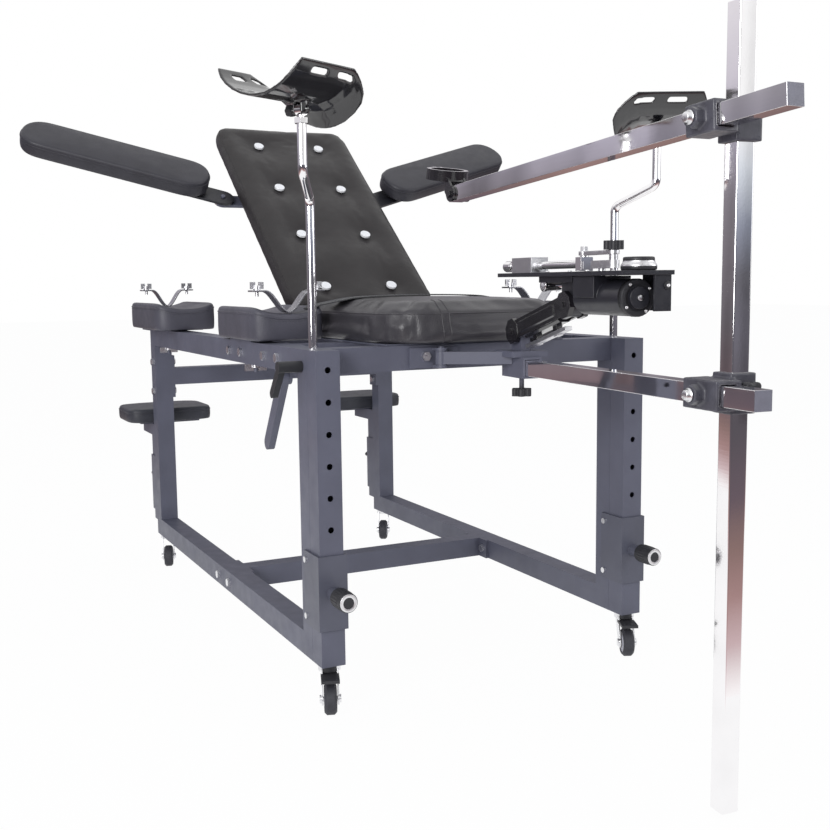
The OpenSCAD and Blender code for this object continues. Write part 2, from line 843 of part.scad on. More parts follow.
module cradle_bands() {
    color(chrome) for (s = [-1, 1]) for (i = [0, 1]) let (r = band_r[i])
        translate([s * limb_x[i], band_y[i] + band_w / 2, band_z]) rotate([90, 0, 0]) difference() {
            linear_extrude(band_w) {
                intersection() {
                    translate([0, r]) difference() {
                        circle(r = r);
                        circle(r = r - band_t);
                    }
                    translate([-r, 0]) square([2 * r, band_h]);
                }
                for (e = [-1, 1]) translate([e * (r + band_flange / 2 - band_t / 2), band_h - band_t / 2])
                    square([band_flange + band_t, band_t], center = true);
            }
            for (e = [-1, 1]) translate([e * (r + band_flange / 2), band_h + cut, band_w / 2])
                rotate([90, 0, 0]) cylinder(r = wing_r + bolt_clear, h = band_t + 2 * cut);
        }
}

// Kneel supports
module kneel_sleeves() {
    color(frame_black) for (s = [-1, 1]) translate([s * x_side, kneel_y, kneel_sleeve_z]) {
        square_tube(kneel_out, kneel_wall, kneel_sleeve_h);
        translate([0, kneel_out / 2, kneel_knob_z]) along_y() {
            cylinder(r = boss_r, h = knob_boss);
            translate([0, 0, knob_boss]) star_knob(star_r, star_h);
        }
    }
}

module kneel_post(side) {
    arm_back = kneel_pad_y + kneel_l / 4;
    color(frame_black) translate([side * x_side, kneel_y, 0]) {
        translate([0, 0, kneel_low]) square_tube(kneel_in, kneel_wall, kneel_arm_z - kneel_low);
        translate([-kneel_in / 2, -kneel_in / 2, kneel_arm_z])
            cube([kneel_in, arm_back - kneel_y + kneel_in / 2, kneel_arm_h]);
        translate([side * (kneel_pad_x - x_side), kneel_pad_y - kneel_y, kneel_z - kneel_plate_t / 2])
            block(kneel_plate);
    }
}

module kneel_pad(side) {
    color(pad_black) translate([side * kneel_pad_x, kneel_pad_y, kneel_z + rest])
        pad(kneel_w, kneel_l, kneel_corner, kneel_t, kneel_crown, nx = 10, ny = 8);
}

module left_kneel_post() { kneel_post(left); }
module right_kneel_post() { kneel_post(right); }
module left_kneel_pad() { kneel_pad(left); }
module right_kneel_pad() { kneel_pad(right); }

// Backrest
module in_back() {
    translate(axle_at) rotate([back_angle, 0, 0]) children();
}

module backrest_frame() {
    rail_h = rail_hi - rail_lo;
    color(frame_black) in_back() {
        difference() {
            union() {
                for (s = [-1, 1]) {
                    translate([s * lug_x - rail_w / 2, 0, rail_lo]) cube([rail_w, rail_l, rail_h]);
                    translate([s * lug_x - knuckle_l / 2, 0, 0]) along_x()
                        cylinder(r = knuckle_r, h = knuckle_l);
                }
                for (v = [panel_lo, panel_hi])
                    translate([-lug_x, v - rail_w / 2, rail_lo]) cube([2 * lug_x, rail_w, rail_h]);
                translate([-lug_x, panel_lo, rail_hi - panel_t])
                    cube([2 * lug_x, panel_hi - panel_lo, panel_t]);
                translate([-arm_pivot_x, arm_pivot_v - arm_bar_w / 2, rail_lo - arm_bar_t])
                    cube([2 * arm_pivot_x, arm_bar_w, arm_bar_t]);
                for (s = [-1, 1]) translate([s * arm_pivot_x, arm_pivot_v, rail_lo - arm_bar_t]) {
                    cylinder(r = arm_bar_w / 2, h = arm_bar_t);
                    cylinder(r = arm_boss_r, h = arm_bar_t + arm_rise);
                    cylinder(r = arm_pin_r, h = arm_bar_t + arm_rise + gap + bracket_t + arm_pin_out);
                }
            }
            translate([-inner_w / 2, 0, 0]) along_x() cylinder(r = axle_d / 2 + fit, h = inner_w);
        }
    }
}

tufts = [for (s = [-1, 1]) for (k = [0:3]) [s * tuft_x / 2, tuft_row_1 + k * tuft_y - back_l / 2]];

module backrest_pad() {
    color(pad_black) in_back() translate([0, back_low + back_l / 2, back_z])
        pad(back_w, back_l, back_corner, back_t, back_crown, tufts = tufts, nx = 20, ny = 36);
}

module backrest_buttons() {
    color(button_white) in_back() translate([0, back_low + back_l / 2, back_z])
        for (i = [0:len(tufts) - 1]) let (p = tufts[i])
            translate([p[0], p[1], pad_top(p[0], p[1], back_w / 2, back_l / 2, back_t, back_crown, 0)
                - tuft_depth + button_rise[i % len(button_rise)]]) cylinder(r = button_d / 2, h = button_h);
}

// Arm boards, turning about a pin square to the backrest
module in_arm(side) {
    in_back() translate([side * arm_pivot_x, arm_pivot_v, 0]) mirror_left(side) rotate(arm_angle) children();
}

module arm_bracket(side) {
    lo = rail_lo + arm_rise + gap;
    color(frame_black) in_arm(side) difference() {
        union() {
            translate([0, 0, lo]) cylinder(r = bracket_w / 2, h = bracket_t);
            translate([0, -bracket_w / 2, lo]) cube([bracket_l, bracket_w, bracket_t]);
            for (x = [spacer_x, bracket_l - spacer]) translate([x, -spacer / 2, lo])
                cube([spacer, spacer, arm_lo - lo - rest]);
        }
        translate([0, 0, lo - cut]) cylinder(r = arm_pin_r + fit, h = bracket_t + 2 * cut);
    }
}

module arm_pad(side) {
    color(pad_black) in_arm(side) translate([arm_start + arm_l / 2, 0, arm_lo]) rotate(90)
        pad(arm_w, arm_l, arm_corner, arm_t, arm_crown, nx = 10, ny = 20);
}

module left_arm_bracket() { arm_bracket(left); }
module right_arm_bracket() { arm_bracket(right); }
module left_arm_pad() { arm_pad(left); }
module right_arm_pad() { arm_pad(right); }

// Leg supports: bent pole, then a tilting cup
module bend(angle) {
    translate([pole_bend_r, 0, 0]) rotate([90, 0, 0]) rotate([0, 0, 180 - angle])
        rotate_extrude(angle = angle) translate([pole_bend_r, 0]) circle(r = pole_r + bend_step);
}

module in_pole(side) {
    translate([side * x_side, y_post, 0]) mirror_left(side) rotate(pole_turn - 90) children();
}

module leg_pole(side) {
    mid = [pole_bend_r * (1 - cos(pole_bend)), 0, pole_bend_z + pole_bend_r * sin(pole_bend)];
    run = pole_run * [sin(pole_bend), 0, cos(pole_bend)];
    color(chrome) {
        in_pole(side) {
            translate([0, 0, frame_h - pole_low])
                cylinder(r = pole_r, h = pole_bend_z - frame_h + pole_low + bend_lap);
            translate([0, 0, pole_bend_z]) bend(pole_bend);
            translate(mid) rotate([0, pole_bend, 0]) translate([0, 0, -bend_lap])
                cylinder(r = pole_r, h = pole_run + 2 * bend_lap);
            translate(mid + run) rotate([0, pole_bend, 0]) mirror([1, 0, 0]) bend(pole_bend);
            translate([pole_step, 0, pole_bend_z + pole_rise - bend_lap])
                cylinder(r = pole_r, h = pole_upper + bend_lap);
            translate([pole_step, 0, pole_top]) cylinder(r = nut_r, h = nut_h, $fn = 6);
        }
        at_cup(side) difference() {
            union() {
                rotate([90, 0, 0]) translate([0, 0, -cup_eye_w / 2]) cylinder(r = cup_eye_r, h = cup_eye_w);
                translate([0, 0, nut_h - neck_sink - cup_pivot])
                    cylinder(r = neck_r, h = cup_pivot - nut_h + neck_sink);
            }
            rotate([90, 0, 0]) translate([0, 0, -cup_eye_w])
                cylinder(r = cup_pin_r + fit, h = 2 * cup_eye_w);
        }
    }
}

// Frame of a cup's pivot: x along the trough, toward the seat, y toward the low wing
module at_cup(side) {
    turn = pole_turn - 90;
    at = pole_step * [cos(turn), sin(turn)];
    translate([side * (x_side + at[0]), y_post + at[1], pole_top + cup_pivot])
        mirror_left(side) rotate(180 - cup_turn) mirror([0, 1, 0]) children();
}

// Cup surface: a trough over the pole with rounded corners, falling away at its seat end
function cup_edge(t) = pow(max(0, abs(t) - cup_shoulder) / (1 - cup_shoulder), 2);
function cup_start(t) = cup_corner[0] * cup_edge(t) - cup_slant[0] * (1 + t) / 2;
function cup_end(t) = cup_l - cup_corner[1] * cup_edge(t) - cup_slant[1] * (1 + t) / 2;
function cup_point(s, t) =
    let (d = cup_start(t) + s * (cup_end(t) - cup_start(t)),
        fall = cup_fall * pow(max(0, s - cup_crest) / (1 - cup_crest), 2))
    [d - cup_fore, cup_r * sin(cup_wrap * t) + cup_side,
        cup_r * (1 - cos(cup_wrap * t)) - fall * max(0, 1 - t * t)];
function cup_normal(s, t, e = 0.01) =
    let (along = cup_point(s + e, t) - cup_point(s - e, t),
        across = cup_point(s, t + e) - cup_point(s, t - e), n = cross(along, across)) n / norm(n);
function cup_grid(lift) =
    [for (s = cup_along) for (t = cup_across) cup_point(s, t) + lift * cup_normal(s, t)];
function has(list, v) = len(search(v, list)) > 0;
function cup_solid(i, j) = i >= 0 && j >= 0 && i < len(cup_along) - 1 && j < len(cup_across) - 1
    && !(has(cup_slot_rows, i) && has(cup_slot_cols, j));

module leg_cup_shell() {
    row = len(cup_across);
    n = len(cup_along) * row;
    faces = [for (i = [0:len(cup_along) - 2]) for (j = [0:row - 2]) if (cup_solid(i, j))
        let (a = i * row + j, b = a + row, c = b + 1, d = a + 1) each concat(
            [[a, d, c], [a, c, b], [n + a, n + b, n + c], [n + a, n + c, n + d]],
            cup_solid(i - 1, j) ? [] : [[a, n + a, n + d], [a, n + d, d]],
            cup_solid(i + 1, j) ? [] : [[b, c, n + c], [b, n + c, n + b]],
            cup_solid(i, j - 1) ? [] : [[a, b, n + b], [a, n + b, n + a]],
            cup_solid(i, j + 1) ? [] : [[d, n + d, n + c], [d, n + c, c]])];
    polyhedron(concat(cup_grid(cup_t), cup_grid(0)), faces);
}

// Socket under the cup, slotted for the pole's eye, with its cross pin and knob
module leg_cup(side) {
    slot_w = cup_eye_w + 2 * gap;
    color(gloss_black) at_cup(side) {
        translate([0, 0, cup_seat]) leg_cup_shell();
        difference() {
            translate([0, 0, -cup_skirt]) cylinder(r = cup_socket_r, h = cup_skirt + cup_seat + cup_root);
            translate([0, 0, -cup_seat - cup_roof]) block([3 * cup_socket_r, slot_w, 4 * cup_seat]);
        }
        rotate([side * 90, 0, 0]) {
            translate([0, 0, -cup_socket_r - cup_pin_out])
                cylinder(r = cup_pin_r, h = 2 * (cup_socket_r + cup_pin_out));
            translate([0, 0, cup_socket_r + cup_pin_out]) star_knob(cup_knob_r, star_h);
        }
    }
}

module left_leg_pole() { leg_pole(left); }
module right_leg_pole() { leg_pole(right); }
module left_leg_cup() { leg_cup(left); }
module right_leg_cup() { leg_cup(right); }

// Clamp levers that lock the poles in their sockets
module clamp_lever(side) {
    face = tube / 2;
    color(gloss_black) translate([side * x_side, y_post, lever_z]) mirror_left(side) {
        translate([pole_r + gap, 0, 0]) along_x() cylinder(r = stud_r, h = face - pole_r);
        translate([face + gap, 0, 0]) along_x() cylinder(r = lever_hub_r, h = lever_hub_l);
        translate([face + gap + lever_at, 0, 0]) rotate([lever_lean, 0, 0]) {
            translate([0, -lever_r, -lever_arm]) cube([lever_t, 2 * lever_r, lever_arm]);
            translate([0, 0, -lever_arm]) along_x() cylinder(r = lever_r, h = lever_t);
        }
    }
}

module left_clamp_lever() { clamp_lever(left); }
module right_clamp_lever() { clamp_lever(right); }

// Telescopic leg tubes and their pull pins
module leg_tube(side) {
    color(frame_black) translate([side * x_side, y_leg, 0]) difference() {
        translate([-tube / 2, -tube / 2, base_h]) cube([tube, tube, frame_h - base_h]);
        translate([-tube / 2 + tube_wall, -tube / 2 + tube_wall, base_h + plate_t])
            cube([tube - 2 * tube_wall, tube - 2 * tube_wall, frame_h - base_h - plate_t - cap_t]);
        for (k = [0:hole_count - 1]) translate([0, -tube / 2 - cut, frame_h - first_hole - k * hole_pitch])
            along_y() cylinder(r = hole_d / 2, h = tube_wall + 2 * cut);
        translate([0, 0, base_h - cut]) cylinder(r = stem_r + fit, h = plate_t + 2 * cut);
    }
}

module pull_pin(side) {
    tip = y_leg - tube / 2 - gap;
    pin_l = boss_l + sleeve_t;
    color(gloss_black) translate([side * x_side, tip, pin_z]) rotate([90, 0, 0]) {
        cylinder(r = pin_r, h = pin_l + gap + knob_l / 2);
        translate([0, 0, pin_l + gap]) cylinder(r = knob_d / 2, h = knob_l);
    }
}

module left_leg_tube() { leg_tube(left); }
module right_leg_tube() { leg_tube(right); }
module left_pull_pin() { pull_pin(left); }
module right_pull_pin() { pull_pin(right); }

// Casters
function caster_x(i) = (i % 2 == 0 ? left : right) * x_side;
function caster_y(i) = i < 2 ? y_leg : y_rear;

module at_caster(i) {
    translate([caster_x(i), caster_y(i), 0]) rotate(-caster_turn[i]) children();
}

module fork(i) {
    axle = wheel_d / 2;
    plate_x = wheel_w / 2 + fork_gap;
    top = base_h - gap;
    color(chrome) at_caster(i) {
        translate([0, 0, top - crown_t]) cylinder(r = crown_r, h = crown_t);
        translate([0, 0, top - cut]) cylinder(r = stem_r, h = plate_t + gap + cut + stem_past);
        for (s = [-1, 1]) translate([s * (plate_x + fork_t / 2) - fork_t / 2, 0, 0]) rotate([90, 0, 90])
            linear_extrude(fork_t) {
                polygon([[-fork_back, top - crown_t / 2], [fork_fore, top - crown_t / 2],
                    [-trail + fork_r - 1, axle], [-trail - fork_r + 1, axle]]);
                translate([-trail, axle]) circle(r = fork_r);
            }
        translate([-plate_x - fork_t - rivet_h, -trail, axle]) along_x()
            cylinder(r = axle_r, h = 2 * (plate_x + fork_t + rivet_h));
        for (x = [-plate_x - fork_t - rivet_h, plate_x + fork_t]) translate([x, -trail, axle]) along_x()
            cylinder(r = rivet_r, h = rivet_h);
        if (i < 2) translate([-pedal_w / 2, -pedal_at - pedal_l, top - pedal_drop])
            cube([pedal_w, pedal_l, pedal_t]);
        if (i < 2) translate([-plate_x, -pedal_at - 2, top - pedal_drop])
            cube([2 * plate_x, crown_t, pedal_drop - 2]);
    }
}

module wheel(i) {
    r = wheel_d / 2;
    w = wheel_w / 2;
    color(tyre_black) at_caster(i) translate([0, -trail, r]) along_x() rotate_extrude()
        polygon([[axle_r + fit, -w], [hub[0], -w], [hub[1], hub_sink - w], [hub[2], hub_sink - w],
            [hub[3], -w], [r - tread, -w], [r, tread - w], [r, w - tread], [r - tread, w], [hub[3], w],
            [hub[2], w - hub_sink], [hub[1], w - hub_sink], [hub[0], w], [axle_r + fit, w]]);
}

module front_left_fork() { fork(0); }
module front_right_fork() { fork(1); }
module rear_left_fork() { fork(2); }
module rear_right_fork() { fork(3); }
module front_left_wheel() { wheel(0); }
module front_right_wheel() { wheel(1); }
module rear_left_wheel() { wheel(2); }
module rear_right_wheel() { wheel(3); }

module recline_lever() {
    color(frame_black) translate([-x_side - rl_t / 2, rl_y, rl_z])
        rotate([rl_lean, 0, 0]) rotate([90, 0, 90]) difference() {
            linear_extrude(rl_t) {
                circle(r = rl_w / 2);
                translate([-rl_w / 2, -rl_l + rl_w]) square([rl_w, rl_l - rl_w]);
                translate([0, -rl_l + rl_w]) circle(r = rl_w / 2);
            }
            translate([0, 0, -cut]) cylinder(r = rl_pin_r + fit, h = rl_t + 2 * cut);
        }
}

// Swing arm on the front rail
module arm_hinge_bracket() {
    face = y_post - tube / 2;
    plate_y = face - hinge_plate_t;
    color(frame_black) difference() {
        union() {
            translate([hinge_plate_x[0], plate_y, hinge_lo])
                cube([hinge_plate_x[1] - hinge_plate_x[0], hinge_plate_t, hinge_hi - hinge_lo]);
            for (z = [hinge_lo, hinge_hi - hinge_lug_t]) translate([hinge_pin[0], hinge_pin[1], z]) {
                cylinder(r = hinge_r, h = hinge_lug_t);
                translate([-hinge_r, 0, 0]) cube([2 * hinge_r, plate_y - hinge_pin[1], hinge_lug_t]);
            }
            translate([hinge_pin[0], hinge_pin[1], hinge_lo])
                cylinder(r = hinge_pin_r, h = hinge_hi - hinge_lo + bolt_past);
        }
        for (x = hinge_bolt_x) translate([x, plate_y - cut, hinge_bolt_z]) along_y()
            cylinder(r = bolt_r + bolt_clear, h = hinge_plate_t + 2 * cut);
    }
}

module in_arm_frame() {
    translate([sleeve_at[0], sleeve_at[1], 0]) rotate(swing_turn) children();
}

module swing_arm() {
    lo = hinge_lo + hinge_lug_t + gap;
    high = hinge_hi - hinge_lo - 2 * hinge_lug_t - 2 * gap;
    reach = [sleeve_at[0] - arm_sleeve_w / 2 + link_sink, sleeve_at[1] + 2 * link_sink] - hinge_pin;
    top = bar_z + arm_sleeve_w / 2;
    color(frame_black) difference() {
        union() {
            translate([hinge_pin[0], hinge_pin[1], lo]) {
                cylinder(r = hinge_r, h = high);
                rotate(atan2(reach[1], reach[0])) translate([0, inset - hinge_r, inset])
                    cube([norm(reach), 2 * (hinge_r - inset), high - 2 * inset]);
            }
            in_arm_frame() {
                translate([0, 0, bar_z]) block([arm_sleeve_w, arm_sleeve_l, arm_sleeve_w]);
                translate([0, 0, top + base_plate[2] / 2]) block(base_plate);
                translate([inset - lift_ear / 2, lift_y - lift_ear_r + inset, top + inset])
                    cube([lift_ear - 2 * inset, 2 * (lift_ear_r - inset), lift_z - top - inset]);
                translate([-lift_ear / 2, lift_y, lift_z]) along_x() cylinder(r = lift_ear_r, h = lift_ear);
                translate([0, 0, bar_z - arm_sleeve_w / 2]) mirror([0, 0, 1]) {
                    translate([0, 0, -inset]) cylinder(r = stud_r, h = stud_l + inset);
                    translate([0, 0, stud_l - inset]) star_knob(star_r, star_h);
                }
            }
        }
        translate([hinge_pin[0], hinge_pin[1], lo - cut])
            cylinder(r = hinge_pin_r + fit, h = high + 2 * cut);
        in_arm_frame() {
            translate([0, 0, bar_z]) block([bar_hole, 2 * arm_sleeve_l, bar_hole]);
            translate([-lift_ear, lift_y, lift_z]) along_x()
                cylinder(r = lift_pin_r + fit, h = 2 * lift_ear);
        }
    }
}

module slide_bar() {
    color(chrome) in_arm_frame() translate([0, bar_start, bar_z]) rotate([90, 0, 0]) {
        square_tube(bar, bar_wall, bar_l);
        translate([0, 0, bar_l + end_cap / 2]) block([bar, bar, end_cap]);
    }
}

module clamp_body(wide) {
    block([clamp_w, bar_sleeve, clamp_w]);
    translate([wide / 2, 0, 0]) block([wide, web_w, web_w]);
    translate([wide, 0, 0]) block([clamp_w, clamp_w, clamp_l]);
}

module lower_clamp() {
    color(gloss_black) in_arm_frame() translate([0, mast_y, bar_z]) {
        difference() {
            clamp_body(mast_x);
            block([bar_hole, clamp_l * 2, bar_hole]);
            translate([mast_x, 0, 0]) block([bar_hole, bar_hole, clamp_l * 2]);
        }
        translate([inset - clamp_w / 2, 0, 0]) rotate([0, -90, 0]) cylinder(r = hex_r, h = hex_h, $fn = 6);
        translate([mast_x, -clamp_w / 2, 0]) rotate([90, 0, 0]) {
            cylinder(r = stud_r * 2, h = knob_boss);
            translate([0, 0, knob_boss]) star_knob(star_r, star_h);
        }
    }
}

module mast() {
    color(chrome) translate([mast_at[0], mast_at[1], mast_low]) rotate(swing_turn) {
        translate([0, 0, end_cap]) square_tube(bar, bar_wall, mast_top - mast_low - 2 * end_cap);
        for (z = [0, mast_top - mast_low - end_cap]) translate([0, 0, z + end_cap / 2])
            block([bar, bar, end_cap]);
    }
}

module in_boom() {
    translate(boom_at) rotate([-boom_droop, 0, 0]) children();
}

module upper_clamp() {
    color(gloss_black) difference() {
        union() {
            in_boom() block([clamp_w, clamp_l, clamp_w]);
            translate([mast_at[0] - boom_side / 2, mast_at[1], boom_z]) block([boom_side, web_w, web_w]);
            translate([mast_at[0], mast_at[1], boom_z]) rotate(swing_turn)
                block([clamp_w, clamp_w, clamp_l]);
            in_boom() translate([inset - clamp_w / 2, 0, 0]) rotate([0, -90, 0])
                cylinder(r = hex_r, h = hex_h, $fn = 6);
        }
        in_boom() block([bar_hole, clamp_l * 2, bar_hole]);
        translate([mast_at[0], mast_at[1], boom_z]) rotate(swing_turn)
            block([bar_hole, bar_hole, clamp_l * 2]);
    }
}

module boom() {
    color(chrome) in_boom() difference() {
        union() {
            translate([0, -boom_back, 0]) rotate([-90, 0, 0]) square_tube(bar, bar_wall, boom_back + boom_l);
            translate([0, -boom_back - end_cap / 2, 0]) block([bar, end_cap, bar]);
            translate([0, boom_l - ring_pin, 0]) block([bar, 2 * ring_pin, bar]);
        }
        translate([-bar, boom_l - ring_pin, 0]) along_x() cylinder(r = ring_pin_r + fit, h = 2 * bar);
    }
}

// Ring clamp at the boom's tip, turning about a cross pin
module at_ring() {
    translate([0, ring_reach[0], ring_reach[1]]) rotate([ring_tilt, 0, 0]) children();
}

module ring_clamp() {
    cheek_x = bar / 2 + gap;
    ring_r = ring_d / 2;
    neck_near = norm([ring_pin, bar / 2]) + 2 * gap;
    cheek_lean = [atan2(cheek_aim[1], cheek_aim[0]) - 90, 0, 0];
    color(gloss_black) in_boom() translate([0, boom_l - ring_pin, 0]) {
        translate([-cheek_x - cheek_t - ring_nut, 0, 0]) along_x()
            cylinder(r = ring_pin_r, h = 2 * (cheek_x + cheek_t + ring_nut));
        for (s = [-1, 1]) translate([s * (cheek_x + cheek_t + ring_nut / 2) - ring_nut / 2, 0, 0]) along_x()
            cylinder(r = ring_nut_r, h = ring_nut, $fn = 6);
        // Cheeks and neck end inside the ring's wall, clear of its bore
        difference() {
            union() {
                for (s = [-1, 1]) translate([s * (cheek_x + cheek_t / 2) - cheek_t / 2, 0, 0]) {
                    along_x() cylinder(r = cheek_r, h = cheek_t);
                    rotate(cheek_lean) translate([0, -neck_w / 2, 0]) cube([cheek_t, neck_w, neck_far]);
                }
                rotate(cheek_lean) translate([-cheek_x - cheek_t / 2, inset - neck_w / 2, neck_near])
                    cube([2 * cheek_x + cheek_t, neck_w - 2 * inset, neck_far - neck_near - inset]);
            }
            at_ring() translate([0, 0, -ring_h * 1.5]) cylinder(r = ring_r + ring_wall / 2, h = ring_h * 3);
        }
        at_ring() difference() {
            union() {
                translate([0, 0, -ring_h / 2]) cylinder(r = ring_r + ring_wall, h = ring_h);
                translate([0, ring_r + ring_wall, 0]) block(ring_ear);
            }
            translate([0, 0, -ring_h / 2 - cut]) cylinder(r = ring_r, h = ring_h + 2 * cut);
            translate([0, ring_r + ring_wall, 0]) block([ring_split, ring_ear[0] + ring_wall, ring_h + cut]);
        }
    }
}

// Drive unit
module drive_arm() {
    ear = lift_ear / 2 + gap;
    lean = [lift_angle, 0, 0];
    span = 2 * (ear + lift_cheek_t);
    color(gloss_black) in_arm_frame() {
        translate([0, lift_y, lift_z]) rotate(-lean) {
            for (y = [0, -lift_l]) {
                for (x = [-ear - lift_cheek_t, ear]) translate([x, y, 0]) along_x()
                    rotate(octagon) cylinder(r = lift_cheek_r, h = lift_cheek_t, $fn = 8);
                translate([-span / 2 - lift_pin_out, y, 0]) along_x()
                    cylinder(r = lift_pin_r, h = span + 2 * lift_pin_out);
            }
            for (s = [-1, 1]) translate([s * (ear + lift_cheek_t / 2), -lift_l / 2, 0])
                block([lift_cheek_t - 2 * inset, lift_l, lift_web]);
            translate([0, -lift_body_at, 0]) rotate([90, 0, 0]) rotate(octagon)
                cylinder(r = lift_body_r, h = lift_l - 2 * lift_body_at, $fn = 8);
            for (y = [-1, 1]) translate([0, y * strip_l / 4 - lift_l / 2, -lift_body_r - strip_drop / 2])
                block([strip_w - 2 * inset, strip_w, 2 * strip_drop]);
            translate([0, -lift_l / 2, -lift_body_r - strip_drop]) block([strip_w, strip_l, strip_t]);
        }
    }
}

module drive_plate() {
    low = lift_top[1];
    front = drive_back - drive_l;
    color(gloss_black) in_arm_frame() difference() {
        union() {
            translate([-drive_w / 2, front, drive_z]) cube([drive_w, drive_l, drive_t]);
            for (x = [-1, 1] * channel_w / 2)
                translate([x - sheet_t / 2, motor_y + sheet_t, drive_z - channel_h])
                    cube([sheet_t, channel_l, channel_h + inset]);
            translate([-lift_ear / 2, lift_top[0] - lift_ear_r, low])
                cube([lift_ear, 2 * lift_ear_r, drive_z - low + inset]);
            translate([-lift_ear / 2, lift_top[0], low]) along_x() cylinder(r = lift_ear_r, h = lift_ear);
            translate([shield_side - shield_w, front + sheet_t, drive_z - shield_h])
                cube([shield_w, sheet_t, shield_h + inset]);
            translate([shield_side - sheet_t, front + sheet_t, drive_z - shield_h])
                cube([sheet_t, shield_l, shield_h + inset]);
        }
        translate([-lift_ear, lift_top[0], low]) along_x() cylinder(r = lift_pin_r + fit, h = 2 * lift_ear);
        translate([0, crank_y, drive_z - cut]) cylinder(r = shaft_r + inset, h = drive_t + 2 * cut);
    }
}

module drive_motor() {
    color(gloss_black) in_arm_frame() difference() {
        union() {
            translate([0, motor_y, motor_z]) rotate([90, 0, 0]) cylinder(r = motor_d / 2, h = motor_l);
            translate([0, motor_y - motor_l, motor_z]) rotate([90, 0, 0])
                cylinder(r = motor_nose_r, h = motor_nose);
            translate([-gear_w / 2, crank_y - gear_l / 2, motor_z]) cube([gear_w, gear_l, gear_h]);
        }
        translate([0, crank_y, motor_z]) cylinder(r = shaft_r + fit, h = motor_d);
    }
}

module crank() {
    color(bright) in_arm_frame() translate([0, crank_y, 0]) {
        translate([0, 0, shaft_z]) cylinder(r = shaft_r, h = crank_z - shaft_z + crank_t / 2);
        translate([-crank_end_r, -crank_r, crank_z]) cube([2 * crank_end_r, crank_r + crank_tail, crank_t]);
        for (y = [crank_tail, -crank_r]) translate([0, y, crank_z]) cylinder(r = crank_end_r, h = crank_t);
        translate([0, -crank_r, crank_z])
            cylinder(r = crank_pin_r, h = link_z + link_t - crank_z + star_h / 2);
        translate([0, -crank_r, crank_z]) cylinder(r = crank_collar_r, h = link_z - gap - crank_z);
        translate([0, -crank_r, link_z + link_t + gap]) star_knob(crank_knob_r, star_h);
    }
}

module link() {
    color(bright) in_arm_frame() translate([0, crank_y - crank_r, link_z]) difference() {
        union() {
            for (y = [0, link_l]) translate([0, y, 0]) cylinder(r = link_r, h = link_t);
            translate([-link_w / 2, 0, 0]) cube([link_w, link_l, link_t]);
            translate([0, link_l, 0]) cylinder(r = link_bolt_r, h = link_t + link_bolt_h, $fn = 6);
        }
        translate([0, 0, -cut]) cylinder(r = crank_pin_r + fit, h = link_t + 2 * cut);
    }
}

module slide_rod() {
    color(chrome) in_arm_frame() {
        translate([0, rod_end, rod_z]) rotate([90, 0, 0]) cylinder(r = rod_d / 2, h = rod_end - cross_y);
        translate([0, cross_y, rod_z]) block([cross_h, cross_l, cross_h]);
        translate([0, rod_end, rod_z]) rotate([90, 0, 0]) cylinder(r = coupler_r, h = coupler_l);
        translate([0, cross_y, rod_z + cross_h / 2 - inset])
            cylinder(r = link_bolt_r, h = inset + cross_cap);
    }
}

module bearing_block() {
    lo = drive_z + drive_t;
    color(bright) in_arm_frame() difference() {
        union() {
            translate([-block_w / 2, block_y[1], lo]) cube([block_w, block_y[0] - block_y[1], block_h]);
            translate([0, block_y[1], rod_z]) rotate([90, 0, 0]) cylinder(r = block_lip_r, h = block_lip);
        }
        translate([0, block_y[0] + cut, rod_z]) rotate([90, 0, 0])
            cylinder(r = rod_d / 2 + fit, h = block_y[0] - block_y[1] + block_lip + 2 * cut);
    }
}

module controller() {
    lo = drive_z + drive_t;
    color(gloss_black) in_arm_frame() translate([0, controller_y - controller_l / 2, lo]) {
        for (z = [0, controller_h / 2]) translate([0, 0, z]) linear_extrude(controller_h / 2)
            offset(r = controller_r)
                square([controller_w, controller_l] - (z / 2 + 2 * controller_r) * [1, 1], center = true);
    }
}

left_side_frame();
right_side_frame();
cross_bars();
seat_bars();
recline_axle();
leg_sleeves();
fasteners();
seat_pan();
seat_pad();
seat_strap();
limb_pads();
limb_pad_plates();
cradle_bands();
kneel_sleeves();
arm_hinge_bracket();
backrest_frame();
backrest_pad();
backrest_buttons();
left_arm_bracket();
right_arm_bracket();
left_arm_pad();
right_arm_pad();
left_leg_pole();
right_leg_pole();
left_leg_cup();
right_leg_cup();
left_clamp_lever();
right_clamp_lever();
left_leg_tube();
right_leg_tube();
left_pull_pin();
right_pull_pin();
front_left_fork();
front_right_fork();
rear_left_fork();
rear_right_fork();
front_left_wheel();
front_right_wheel();
rear_left_wheel();
rear_right_wheel();
recline_lever();
left_kneel_post();
right_kneel_post();
left_kneel_pad();
right_kneel_pad();
swing_arm();
slide_bar();
lower_clamp();
mast();
upper_clamp();
boom();
ring_clamp();
drive_arm();
drive_plate();
drive_motor();
crank();
link();
slide_rod();
bearing_block();
controller();
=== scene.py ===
# %% [markdown]
# # An adjustable reclining chair on casters
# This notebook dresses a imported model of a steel-framed reclining chair: padded seat and backrest,
# arm boards, leg cups on bent poles, limb and kneel pads, and a swing-out bar with a mast, a boom
# and a small drive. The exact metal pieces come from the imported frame. Blender adds what drawings
# leave out: finishes, soft edges, stuffed pads, seams and the small trim. Everything is in metres,
# +X right, +Y toward the backrest, +Z up.

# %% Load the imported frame
import json
import math
import bmesh
import bpy
import numpy as np
from mathutils import Matrix, Vector

